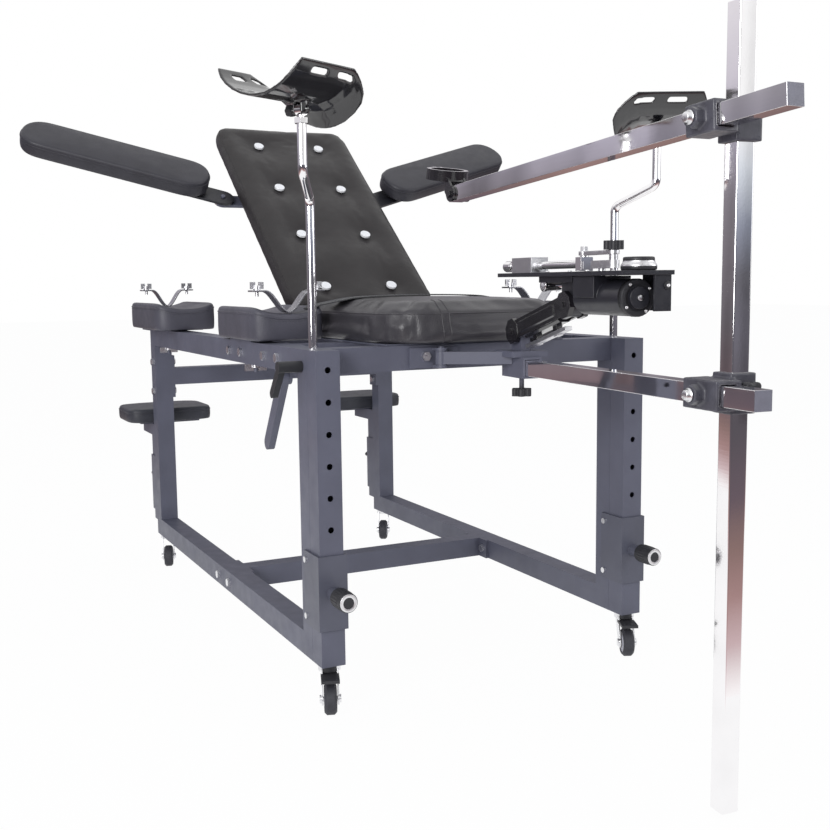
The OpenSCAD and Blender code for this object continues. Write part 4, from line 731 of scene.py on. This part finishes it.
for side, sign in SIDES:
    rounded(side + "_cup_shell", side + "_leg_cup", side + "_cup",
            ("gloss_shell", "moulded"), voxel=0.0017, passes=8, second=on_cup_knob(sign))
rounded("controller_shell", "controller", "drive", ("moulded", "aluminium"),
        voxel=0.0014, passes=14, second=lambda p: CONTROL_BAND_Z[0] < p.z < CONTROL_BAND_Z[1])
rounded("lower_clamp_casting", "lower_clamp", "low_clamp",
        ("cast_grey", "moulded"), voxel=0.0014, passes=5,
        second=lambda p: along_bar(p).y < CLAMP_KNOB_Y and along_bar(p).x > CLAMP_KNOB_X)
rounded("upper_clamp_casting", "upper_clamp", "high_clamp", ("cast_grey",),
        voxel=0.0014, passes=5)

# %% [markdown]
# ## Turned trim
# Screw heads, the motor's end bell and the ribbed knobs are turned parts. A lathe does the same
# here: a profile of radius and height is swept around an axis. Lathe pieces that never move
# against each other share one object.

# %% A lathe
TURN_STEPS = 28


def lathe(work, profile, foot, axis, steps=TURN_STEPS, ribs=0, rib_depth=0.0):
    """Sweep (radius, height) pairs around an axis from a foot point, with ribs where asked."""
    axis = Vector(axis).normalized()
    side = axis.orthogonal().normalized()
    over = axis.cross(side)
    rings = []
    for radius, height in profile:
        ring = []
        for k in range(steps):
            turn = 2 * math.pi * k / steps
            groove = ribs and radius > rib_depth * 4 and k % (steps // ribs) == 0
            r = radius - (rib_depth if groove else 0)
            way = side * (r * math.cos(turn)) + over * (r * math.sin(turn))
            ring.append(work.verts.new(Vector(foot) + axis * height + way))
        rings.append(ring)
    bridge(work, rings)
    close_ends(work, rings)


def turned(name, body, slot, finish_name, *jobs, **ribs):
    """One object out of lathe jobs of (profile, foot, axis), shaded as flats and rounds."""
    work = bmesh.new()
    for job in jobs:
        lathe(work, *job, **ribs)
    made = solid(work, name)
    made.data.materials.append(FINISHES[finish_name])
    shade_smooth(made.data)
    made.modifiers.new("shading", "WEIGHTED_NORMAL").weight = FACE_WEIGHT
    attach(made, body)


def dome(radius, height):
    """Profile of a pan head with a shallow recess in its crown."""
    shares = [(1, 0), (1, 0.35), (0.86, 0.72), (0.6, 1), (0.42, 1), (0.36, 0.62), (0.02, 0.6)]
    return [(radius * across, height * up) for across, up in shares]


def bar_way(x, y, z):
    """A direction given in the swing arm's own frame."""
    return from_bar(x, y, z) - from_bar(0, 0, 0)


# %% Trim of the drive
FRONTWARD, LEFTWARD = bar_way(0, -1, 0), bar_way(-1, 0, 0)
MOTOR_Z, MOTOR_END, MOTOR_R = 0.6535, -0.330, 0.025
BELL_SCREW_R, BELL_SCREW_FROM, BELL_FACE = 0.0215, 35, 0.0032
PLATE_TOP, HEAD_SUNK = 0.6895, 0.0002
PLATE_SCREWS = [(side * 0.0355, y) for side in (-1, 1) for y in (-0.150, -0.215, -0.262)]
SHIELD_SCREW = from_bar(0.0315, -0.3538, 0.6695)
BARREL_AT, BARREL_LONG, BARREL_R = (-0.113, 0.670), 0.047, 0.009
BARREL_BORE, BARREL_WAIST = 0.004, 0.0078
motor_end = from_bar(0, MOTOR_END, MOTOR_Z)
bell = [(MOTOR_R + 0.0006, -0.007), (MOTOR_R + 0.0006, 0.0022), (MOTOR_R - 0.0006, 0.0034),
        (0.0185, 0.0034), (0.0178, 0.0012), (0.0128, 0.0012), (0.0118, 0.0068), (0.0102, 0.0078),
        (0.0001, 0.0078)]
shaft_end = [(0.004, 0), (0.004, 0.0098), (0.0034, 0.0104), (0.0001, 0.0104)]
washer = [(0.0055, 0), (0.0055, 0.0014), (0.005, 0.002), (0.0025, 0.002)]
half_barrel = [(BARREL_BORE, 0), (BARREL_R - 0.0008, 0), (BARREL_R, 0.0008), (BARREL_R, 0.006),
               (BARREL_WAIST, 0.0066)]
barrel = half_barrel + [(radius, BARREL_LONG - up) for radius, up in reversed(half_barrel)]

drive_screws = [(shaft_end, motor_end, FRONTWARD), (dome(0.003, 0.0042), SHIELD_SCREW, FRONTWARD)]
for turn in (math.radians(BELL_SCREW_FROM + 90 * k) for k in range(4)):
    at = from_bar(BELL_SCREW_R * math.cos(turn), MOTOR_END - BELL_FACE,
                  MOTOR_Z + BELL_SCREW_R * math.sin(turn))
    drive_screws.append((dome(0.0024, 0.0018), at, FRONTWARD))
for x, y in PLATE_SCREWS:
    drive_screws.append((dome(0.0032, 0.0024), from_bar(x, y, PLATE_TOP - HEAD_SUNK), UP))
turned("motor_bell", "drive", "black_metal", "moulded", (bell, motor_end, FRONTWARD))
turned("drive_screws", "drive", "bright_metal", "zinc", *drive_screws)
turned("shield_washer", "drive", "black_matte", "moulded", (washer, SHIELD_SCREW, FRONTWARD))
turned("channel_barrel", "drive", "chrome_plate", "chrome",
       (barrel, from_bar(BARREL_LONG / 2, *BARREL_AT), LEFTWARD))
print("motor bell, screws and barrel made")

# %% Plated bolt ends in the clamps
CLAMP_BOLT_OUT = 0.0329
LOWER_BOLT_AT = from_bar(-CLAMP_BOLT_OUT, -0.494, 0.540)
UPPER_BOLT_AT = (-0.0219 - CLAMP_BOLT_OUT, -1.0855, 0.862)
bolt_end = [(0.0085, 0), (0.0085, 0.0016), (0.0062, 0.0018), (0.0062, 0.006), (0.0052, 0.0072),
            (0.0001, 0.0072)]
turned("lower_clamp_bolt", "low_clamp", "bright_metal", "zinc",
       (bolt_end, LOWER_BOLT_AT, LEFTWARD))
turned("upper_clamp_bolt", "high_clamp", "bright_metal", "zinc",
       (bolt_end, UPPER_BOLT_AT, (-1, 0, 0)))
print("clamp bolts made")

# %% Ribbed rims of the pull knobs
PULL_R, PULL_AT = 0.0155, Vector((0.290, -0.5695, 0.195))
PULL_RIBS, RIB_DEPTH = 22, 0.0011
rim = [(PULL_R - 0.001, 0.004), (PULL_R + 0.0007, 0.006), (PULL_R + 0.0007, 0.027),
       (PULL_R - 0.001, 0.029)]
face_ring = [(0.0088, 0.0372), (0.0092, 0.0386), (0.0136, 0.0386), (0.0142, 0.0380),
             (0.0142, 0.0360)]
for side, sign in SIDES:
    place = (sign * PULL_AT.x, PULL_AT.y, PULL_AT.z), (0, -1, 0)
    turned(side + "_pull_rim", side + "_pin", "black_matte", "moulded", (rim, *place),
           steps=PULL_RIBS * 4, ribs=PULL_RIBS, rib_depth=RIB_DEPTH)
    turned(side + "_pull_ring", side + "_pin", "bright_metal", "zinc", (face_ring, *place))
print("ribbed rims and plated rings made")

# %% [markdown]
# ## Cradle bands
# Each band is a strip of plated steel, pressed into a wave with a flat ear at either end for its
# wing screws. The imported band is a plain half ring. Bending a strip with a modifier would do, but
# the wave is one cosine, so the strip is drawn straight along it, and a bevel rolls its edges.

# %% Waves of steel strip
BANDS = [(sign * x, y, reach) for sign in (-1, 1)
         for x, y, reach in ((0.256, -0.272, 0.042), (0.288, 0.455, 0.035))]
BAND_FOOT, BAND_H, BAND_W, BAND_T, BAND_EAR = 0.6266, 0.040, 0.028, 0.003, 0.024
BAND_STEPS = 44
BAND_EDGE = 0.0007
SLOPE_STEP = 0.0005
STRIP_CORNERS = ((-1, -1), (1, -1), (1, 1), (-1, 1))


def wave(offset, reach):
    """Height of a band over its foot at an offset from its middle."""
    share = min(1.0, abs(offset) / reach)
    return BAND_T / 2 + (BAND_H - BAND_T) * (1 - math.cos(math.pi * share)) / 2


work = bmesh.new()
for x, y, reach in BANDS:
    rings = []
    for offset in np.linspace(-reach - BAND_EAR, reach + BAND_EAR, BAND_STEPS):
        rise = wave(offset + SLOPE_STEP, reach) - wave(offset - SLOPE_STEP, reach)
        across = Vector((-rise / (2 * SLOPE_STEP), 0, 1)).normalized() * BAND_T / 2
        middle = Vector((x + offset, y, BAND_FOOT + wave(offset, reach)))
        rings.append([work.verts.new(middle + Vector((0, a * BAND_W / 2, 0)) + across * b)
                      for a, b in STRIP_CORNERS])
    bridge(work, rings)
    close_ends(work, rings)
waves = solid(work, "cradle_waves")
waves.data.materials.append(FINISHES["pressed_steel"])
soften(waves, BAND_EDGE)
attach(waves, "frame")
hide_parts("cradle_bands")
print(len(BANDS), "bands")

# %% [markdown]
# ## Stuffed pads
# The seat and the back are thick foam on a board, wrapped in leathercloth. A hard block with
# rounded edges would look like plastic. Cloth simulation gives what upholstery does by itself: the
# cover is blown up a little by inner pressure, bulges between its held places and pulls in at the
# corners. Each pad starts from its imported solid, is remade in even small quads, drawn in by a few
# millimetres, held along its board and at its buttons, and then inflated.

# %% Places of the pads
RECLINE = math.radians(39)
AXLE = Vector((0, -0.0775, 0.550))
BACK_UP = Vector((0, math.cos(RECLINE), math.sin(RECLINE)))
BACK_OUT = Vector((0, -math.sin(RECLINE), math.cos(RECLINE)))
BUTTON_X, BUTTON_FIRST, BUTTON_PITCH = 0.074, 0.135, 0.171
BUTTONS = [(side * BUTTON_X, BUTTON_FIRST + BUTTON_PITCH * row)
           for side in (-1, 1) for row in range(4)]
RAIL_BOARD = Vector((0, 0, 0.5782))


def on_back(x, up, out):
    """A place on the reclined backrest: across it, up it and out of its face."""
    return Vector((x, 0, 0)) + AXLE + BACK_UP * up + BACK_OUT * out


PADS = {
    # name: (node, body, a point on its board, way out, fill)
    "back_cushion": ("backrest_pad", "backrest", on_back(0, 0, 0.0083), BACK_OUT, 0.7),
    "seat_cushion": ("seat_pad", "frame", RAIL_BOARD, UP, 0.75),
}
print(len(PADS), "stuffed pads")

# %% Skins of even quads, drawn in a little
PIN = "held"
SKIN_VOXEL, DRAW_IN = 0.006, 0.0035
HELD_AT_BOARD = 0.004
BUTTON_HOLD, BUTTON_FADE = 0.012, 0.006
TUFT_REACH = 0.052
TOP_FROM = 0.02


def from_button(point):
    """Distance of a point from the nearest button, measured in the plane of the back."""
    up = (point - AXLE).dot(BACK_UP)
    return min(math.hypot(point.x - bx, up - by) for bx, by in BUTTONS)


def skin(name, node, board, out):
    """An even copy of a soft solid, drawn in, and how freely each of its points may swell."""
    pad = even_copy(name, node, SKIN_VOXEL)
    held = pad.vertex_groups.new(name=PIN)
    free = np.ones(len(pad.data.vertices))
    for v in pad.data.vertices:
        height = (v.co - board).dot(out)
        hold = 1.0 if height < HELD_AT_BOARD else 0.0
        if node == "backrest_pad" and height > TOP_FROM:
            near = from_button(v.co)
            hold = min(1.0, max(0.0, (BUTTON_HOLD + BUTTON_FADE - near) / BUTTON_FADE))
            free[v.index] = 1 - math.exp(-(near / TUFT_REACH) ** 2)
        if hold < 1:
            v.co -= v.normal * DRAW_IN * (1 - hold)
        held.add([v.index], hold, "REPLACE")
    return pad, free


cushions, freedom = {}, {}
for name, (node, body, board, out, fill) in PADS.items():
    cushions[name], freedom[name] = skin(name, node, board, out)
print("skins:", {name: len(pad.data.vertices) for name, pad in cushions.items()})

# %% Inflate the two pads at once
FRAMES = 20
PRESSURE = 4.0
MOST_SWELL = 0.009


def cover_cloth(pad):
    """Leathercloth under inner pressure, held where its vertex group says."""
    cloth = pad.modifiers.new("cover", "CLOTH")
    s = cloth.settings
    s.quality, s.mass = 5, 0.3
    s.tension_stiffness = s.compression_stiffness = 18
    s.shear_stiffness, s.bending_stiffness = 8, 1.5
    s.use_pressure, s.uniform_pressure_force = True, PRESSURE
    s.effector_weights.gravity = 0
    s.vertex_group_mass = PIN
    cloth.collision_settings.use_collision = False
    cloth.point_cache.frame_start, cloth.point_cache.frame_end = 1, FRAMES


def settle(pad, caps):
    """Keep the inflated shape, with no point moved further than its cap."""
    rest = np.array([v.co for v in pad.data.vertices])
    moved = np.array([v.co for v in finished(pad).data.vertices]) - rest
    far = np.linalg.norm(moved, axis=1)
    keep = np.minimum(1, caps / np.maximum(far, 1e-9))[:, None]
    pad.modifiers.clear()
    pad.data.vertices.foreach_set("co", (rest + moved * keep).ravel())
    pad.data.update()
    return far.max(), (far * keep[:, 0]).mean()


for pad in cushions.values():
    cover_cloth(pad)
for number in range(1, FRAMES + 1):
    scene.frame_set(number)
for name, pad in cushions.items():
    most, mean = (swell * 1000 for swell in settle(pad, MOST_SWELL * freedom[name]))
    print(f"  {name}: swelled {mean:.1f} mm on average, {most:.1f} mm at most before capping")
scene.frame_set(1)

# %% Leather on the pads, each kind lighter or darker by painted light and shade
PAD_EASE = 4


def leather_of(name):
    """The copy of the one leathercloth for a pad's kind, its colour holding painted light and shade;
    the kind is the last word but one of its name.
    """
    return name.split("_")[-2] + "_leather"


def dress_pad(name, pad, node, body):
    """Leathercloth, finer faces and the hand-over of a finished pad."""
    fine = pad.modifiers.new("fine", "SUBSURF")
    fine.levels = fine.render_levels = 1
    pad.data.materials.append(FINISHES[leather_of(name)])
    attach(pad, body)
    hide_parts(node)


for name, (node, body, board, out, fill) in PADS.items():
    ease_shape(cushions[name], PAD_EASE)
    dress_pad(name, cushions[name], node, body)
print("stuffed pads dressed")

# %% [markdown]
# ## Firm boards
# The arm boards, limb pads and kneel pads are thin firm foam pulled tight: a flat or hollowed top,
# a tight edge and an upright side band. Inflating them only makes lumps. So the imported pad's
# outline is found by slicing it, and rings are laid over it: up the band, over the edge and across
# the top, where the limb pads keep their hollow.

# %% Outlines by slicing
LEAST_LOOP = 12
OUTLINE_STEP = 0.004


def slice_loops(obj, point, normal):
    """Closed loops where a plane cuts a finished object, each as an ordered list of points."""
    work = bmesh.new()
    work.from_mesh(bpy.data.meshes.new_from_object(finished(obj)))
    bmesh.ops.remove_doubles(work, verts=work.verts, dist=WELD)
    cut = bmesh.ops.bisect_plane(work, geom=work.verts[:] + work.edges[:] + work.faces[:],
                                 plane_co=point, plane_no=normal)["geom_cut"]
    work.verts.index_update()
    work.verts.ensure_lookup_table()
    near = {}
    for edge in (g for g in cut if isinstance(g, bmesh.types.BMEdge)):
        a, b = (v.index for v in edge.verts)
        near.setdefault(a, []).append(b)
        near.setdefault(b, []).append(a)
    loops, left = [], set(near)
    while left:
        ahead, chain = [min(left)], []
        while ahead:
            chain.append(ahead[0])
            left.discard(ahead[0])
            ahead = [n for n in near[ahead[0]] if n in left]
        if len(chain) > LEAST_LOOP:
            loops.append([work.verts[i].co.copy() for i in chain])
    work.free()
    return loops


def evenly(loop, spacing, closed=True):
    """The loop again with points a set distance apart."""
    pts = np.array(loop + loop[:1] if closed else loop)
    run = np.concatenate([[0], np.cumsum(np.linalg.norm(np.diff(pts, axis=0), axis=1))])
    count = max(8, int(run[-1] / spacing))
    at = np.linspace(0, run[-1], count, endpoint=not closed)
    return [Vector([np.interp(d, run, pts[:, k]) for k in range(3)]) for d in at]


def even_count(loop):
    """The loop in even steps and an even count of points, so that its end caps close in pairs."""
    steps = evenly(loop, OUTLINE_STEP)
    if len(steps) % 2:
        steps = evenly(loop, OUTLINE_STEP * len(steps) / (len(steps) + 1.2))
    return steps


def eased(loop, passes):
    """A closed row of points with its small corners worn off."""
    pts = np.array(loop)
    for _ in range(passes):
        pts = (np.roll(pts, 1, 0) + 2 * pts + np.roll(pts, -1, 0)) / 4
    return [Vector(p) for p in pts]


# %% Rings over an outline
# Inset, height, and whether the height counts down from the top: up the band and over the edge
BAND_RINGS = [(0.005, 0.0, False), (0.0012, 0.0012, False), (0.0, 0.005, False),
              (-0.0009, 0.014, False), (-0.0006, 0.014, True), (0.0, 0.0078, True),
              (0.0009, 0.0044, True), (0.0027, 0.0017, True), (0.0056, 0.0004, True),
              (0.0095, 0.0, True)]
TOP_RINGS = (0.94, 0.86, 0.75, 0.62, 0.48, 0.34, 0.2, 0.08)
WELT_RING, STITCH_RING = (-0.0004, 0.0095, True), (-0.0006, 0.0135, True)


def firm_pad(name, outline, board, out, thick, crown, hollow):
    """A firm pad in rings, and the two rows of points where its welt and its stitches run."""
    flat = [p - out * (p - board).dot(out) for p in outline]
    centre, count = sum(flat, Vector()) / len(flat), len(flat)
    reach = max(abs(p.x - centre.x) for p in flat)
    inward = []
    for k, p in enumerate(flat):
        side = out.cross(flat[(k + 1) % count] - flat[k - 1]).normalized()
        inward.append(side if side.dot(centre - p) > 0 else -side)

    def top(p, share):
        sunk = hollow * (1 - min(1.0, abs(p.x - centre.x) / reach) ** 2)
        return thick + crown * (1 - share ** 2) - sunk

    def ring_of(inset, height, from_top):
        return [p + n * inset + out * (top(p, 1) - height if from_top else height)
                for p, n in zip(flat, inward)]

    rows = [ring_of(*ring) for ring in BAND_RINGS]
    edge = [p + n * BAND_RINGS[-1][0] for p, n in zip(flat, inward)]
    for share in TOP_RINGS:
        inner = [centre + (p - centre) * share for p in edge]
        rows.append([p + out * top(p, share) for p in inner])
    work = bmesh.new()
    rings = [[work.verts.new(p) for p in row] for row in rows]
    bridge(work, rings)
    for end in (rings[0], rings[-1]):
        for k in range(count // 2 - 1):
            work.faces.new((end[k], end[k + 1], end[count - k - 2], end[count - k - 1]))
    pad = solid(work, name)
    shade_smooth(pad.data)
    return pad, ring_of(*WELT_RING), ring_of(*STITCH_RING)


# %% Arm boards, limb pads and kneel pads
WAIST = 0.012
EASE_PASSES = 8
ARM_BOARD, KNEEL_BOARD = on_back(0, 0, 0.003), Vector((0, 0, 0.3452))
FRONT_BEFORE_Y = 0.1
FIRM_SHAPES = {
    # kind: (a point on its board, way out, thickness, crown, hollow, fill)
    "arm": (ARM_BOARD, BACK_OUT, 0.0365, 0.003, 0.0, 0.95),
    "kneel": (KNEEL_BOARD, UP, 0.034, 0.006, 0.0, 0.9),
    "limb": (RAIL_BOARD, UP, 0.0595, 0.0, 0.0125, 0.95),
}
FIRM = []
for side, sign in SIDES:
    FIRM.append((side + "_arm_cushion", "arm", side + "_arm_pad", side + "_arm", None))
    FIRM.append((side + "_kneel_cushion", "kneel", side + "_kneel_pad", side + "_kneel", None))
    for end in ("front", "rear"):
        FIRM.append((f"{side}_{end}_limb_cushion", "limb", "limb_pads", "frame", (sign, end)))


def lies_at(point, corner):
    """Whether a point belongs to the pad of a corner; a node with one pad names no corner."""
    if corner is None:
        return True
    sign, end = corner
    return point.x * sign > 0 and (point.y < FRONT_BEFORE_Y) == (end == "front")


seam_rows = {}
for name, kind, node, body, corner in FIRM:
    board, out, thick, crown, hollow, fill = FIRM_SHAPES[kind]
    loops = slice_loops(nodes[node], board + out * WAIST, out)
    outline = next(loop for loop in loops if lies_at(loop[0], corner))
    outline = eased(even_count(outline), EASE_PASSES)
    cushions[name], *rows = firm_pad(name, outline, board, out, thick, crown, hollow)
    dress_pad(name, cushions[name], node, body)
    seam_rows[name] = (body, rows)
print(len(FIRM), "firm pads")

# %% [markdown]
# ## Seams
# Each cover is a top panel sewn to a side band. A painted line would vanish at a grazing look, so
# a thin welt follows the edge, with a row of stitches beside it. A firm pad already knows the
# rings where these run. A stuffed pad is sliced by a plane at the height of each.

# %% Welts and stitches
WELT_R, THREAD_R = 0.0011, 0.0005
STITCH_GAP, STITCH_LONG = 0.0048, 0.002976
# Height of the seam and of its stitch row above the board
SEAM_AT = {"back_cushion": (0.034, 0.029), "seat_cushion": (0.048, 0.043)}


def cord_along(name, points, radius, finish_name, closed=True):
    """A round cord through points."""
    curve = bpy.data.curves.new(name, "CURVE")
    curve.dimensions, curve.bevel_depth, curve.bevel_resolution = "3D", radius, 2
    spline = curve.splines.new("POLY")
    spline.points.add(len(points) - 1)
    for target, p in zip(spline.points, points):
        target.co = (*p, 1)
    spline.use_cyclic_u = closed
    spline.use_smooth = True
    curve.materials.append(FINISHES[finish_name])
    return linked(name, curve)


def stitches(name, points, length):
    """Short pointed stitches, one on every second stretch of a row of points."""
    verts, faces = [], []
    for a, b in zip(points[::2], points[1::2]):
        along = (b - a).normalized()
        side = along.orthogonal().normalized() * THREAD_R
        over = along.cross(side)
        mid, base = (a + b) / 2, len(verts)
        verts += [mid - along * length / 2, mid + along * length / 2]
        verts += [mid + side, mid + over, mid - side, mid - over]
        for k in range(4):
            this, after = base + 2 + k, base + 2 + (k + 1) % 4
            faces += [(base, after, this), (base + 1, this, after)]
    mesh = bpy.data.meshes.new(name)
    mesh.from_pydata([tuple(v) for v in verts], [], faces)
    mesh.materials.append(FINISHES["thread"])
    shade_smooth(mesh)
    return linked(name, mesh)


def sew(name, body, welt_row, stitch_row):
    """A welt along one row of points and stitches along another."""
    welt = cord_along(name + "_welt", evenly(welt_row, OUTLINE_STEP), WELT_R, leather_of(name))
    row = stitches(name + "_stitches", evenly(stitch_row, STITCH_GAP / 2), STITCH_LONG)
    for seam in (welt, row):
        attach(seam, body)


for name, (node, body, board, out, fill) in PADS.items():
    seam_rows[name] = body, [max(slice_loops(cushions[name], board + out * height, out), key=len)
                             for height in SEAM_AT[name]]
for name, (body, rows) in seam_rows.items():
    sew(name, body, *rows)
print("seams on", len(cushions), "pads")

# %% A double seam down the seat's front roll
FRONT_SEAM_X = (-0.082, -0.068)
FRONT_ROLL = Vector((0, -0.50, 0.610))
ROLL_SPAN = (math.radians(-50), math.radians(112))


def round_roll(p):
    """Angle of a point around the seat's front roll, from straight ahead, up being positive."""
    return math.atan2(p.z - FRONT_ROLL.z, FRONT_ROLL.y - p.y)


for number, x in enumerate(FRONT_SEAM_X):
    loops = slice_loops(cushions["seat_cushion"], Vector((x, 0, 0)), Vector((1, 0, 0)))
    ahead = sorted((p for p in max(loops, key=len)
                    if ROLL_SPAN[0] < round_roll(p) < ROLL_SPAN[1]), key=round_roll)
    fold = cord_along(f"seat_front_seam_{number}", evenly(ahead, OUTLINE_STEP, False), WELT_R,
                      "seat_leather", closed=False)
    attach(fold, "frame")
print("double seam of", len(ahead), "points")

# %% [markdown]
# ## Belt over the seat
# A flat belt lies across the seat, and its ends rest on the limb pads beside it. Cloth simulation
# would work, but a belt this narrow only follows what it lies on, so its path is found by dropping
# rays on the finished cushions. Where there is a gap below, the belt spans it: a stiff strip takes
# the upper outline of what carries it.

# %% Webbing belt
BELT_Y, BELT_W, BELT_T = -0.2605, 0.045, 0.0022
BELT_END = 0.212
BELT_RAYS = 61
BELT_CLEAR = 0.0012
RAY_TOP, RAY_FLOOR = 0.75, 0.60
BELT_PADS = ("seat_cushion", "left_front_limb_cushion", "right_front_limb_cushion")
# Share of the width across, and of the thickness up: the sewn edges are thicker than the middle
BELT_SECTION = [(-0.5, 0.7), (-0.44, 1.0), (-0.36, 0.82), (0.36, 0.82), (0.44, 1.0), (0.5, 0.7)]
BELT_ROW, BELT_STITCH_STEP, BELT_STITCH_LONG = 0.019, 0.0028, 0.0034


def height_on(pads, x, y):
    """Top of the finished pads under a point, or the floor of the search beside them."""
    tops = [RAY_FLOOR]
    for pad in pads:
        hit, at, _, _ = finished(pad).ray_cast(Vector((x, y, RAY_TOP)), -UP)
        if hit:
            tops.append(at.z)
    return max(tops)


def taut_over(points):
    """The upper outline of a row of points, as a strip pulled over them takes it."""
    def sags(a, b, p):
        return (b[0] - a[0]) * (p[1] - a[1]) >= (b[1] - a[1]) * (p[0] - a[0])

    hull = []
    for p in points:
        while len(hull) > 1 and sags(hull[-2], hull[-1], p):
            hull.pop()
        hull.append(p)
    return [(x, float(np.interp(x, *zip(*hull)))) for x, _ in points]


def belt_path(pads):
    """Points over the cushions from side to side."""
    return taut_over([
        (x, max(height_on(pads, x, BELT_Y + BELT_W * edge) for edge in (-0.5, 0, 0.5)) + BELT_CLEAR)
        for x in np.linspace(-BELT_END, BELT_END, BELT_RAYS)])


def webbing(name, path):
    """A belt with a real thickness and thicker sewn edges."""
    work = bmesh.new()
    rings = []
    for i, (x, z) in enumerate(path):
        ax, az = path[max(0, i - 1)]
        bx, bz = path[min(len(path) - 1, i + 1)]
        run = math.hypot(bx - ax, bz - az) or 1
        nx, nz = -(bz - az) / run * BELT_T, (bx - ax) / run * BELT_T
        ring = [(x + nx * lift, BELT_Y + BELT_W * t, z + nz * lift) for t, lift in BELT_SECTION]
        ring += [(x, BELT_Y + BELT_W * t, z) for t, lift in reversed(BELT_SECTION)]
        rings.append([work.verts.new(p) for p in ring])
    bridge(work, rings)
    close_ends(work, rings)
    made = solid(work, name)
    made.data.materials.append(FINISHES["webbing"])
    return made


belt_run = belt_path([cushions[name] for name in BELT_PADS])
belt = webbing("seat_belt", belt_run)
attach(belt, "frame")
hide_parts("seat_strap")
for edge, offset in (("front", -BELT_ROW), ("rear", BELT_ROW)):
    row = [Vector((x, BELT_Y + offset, z + BELT_T)) for x, z in belt_run]
    line = stitches("belt_stitches_" + edge, evenly(row, BELT_STITCH_STEP, False),
                    BELT_STITCH_LONG)
    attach(line, "frame")
print("belt made")
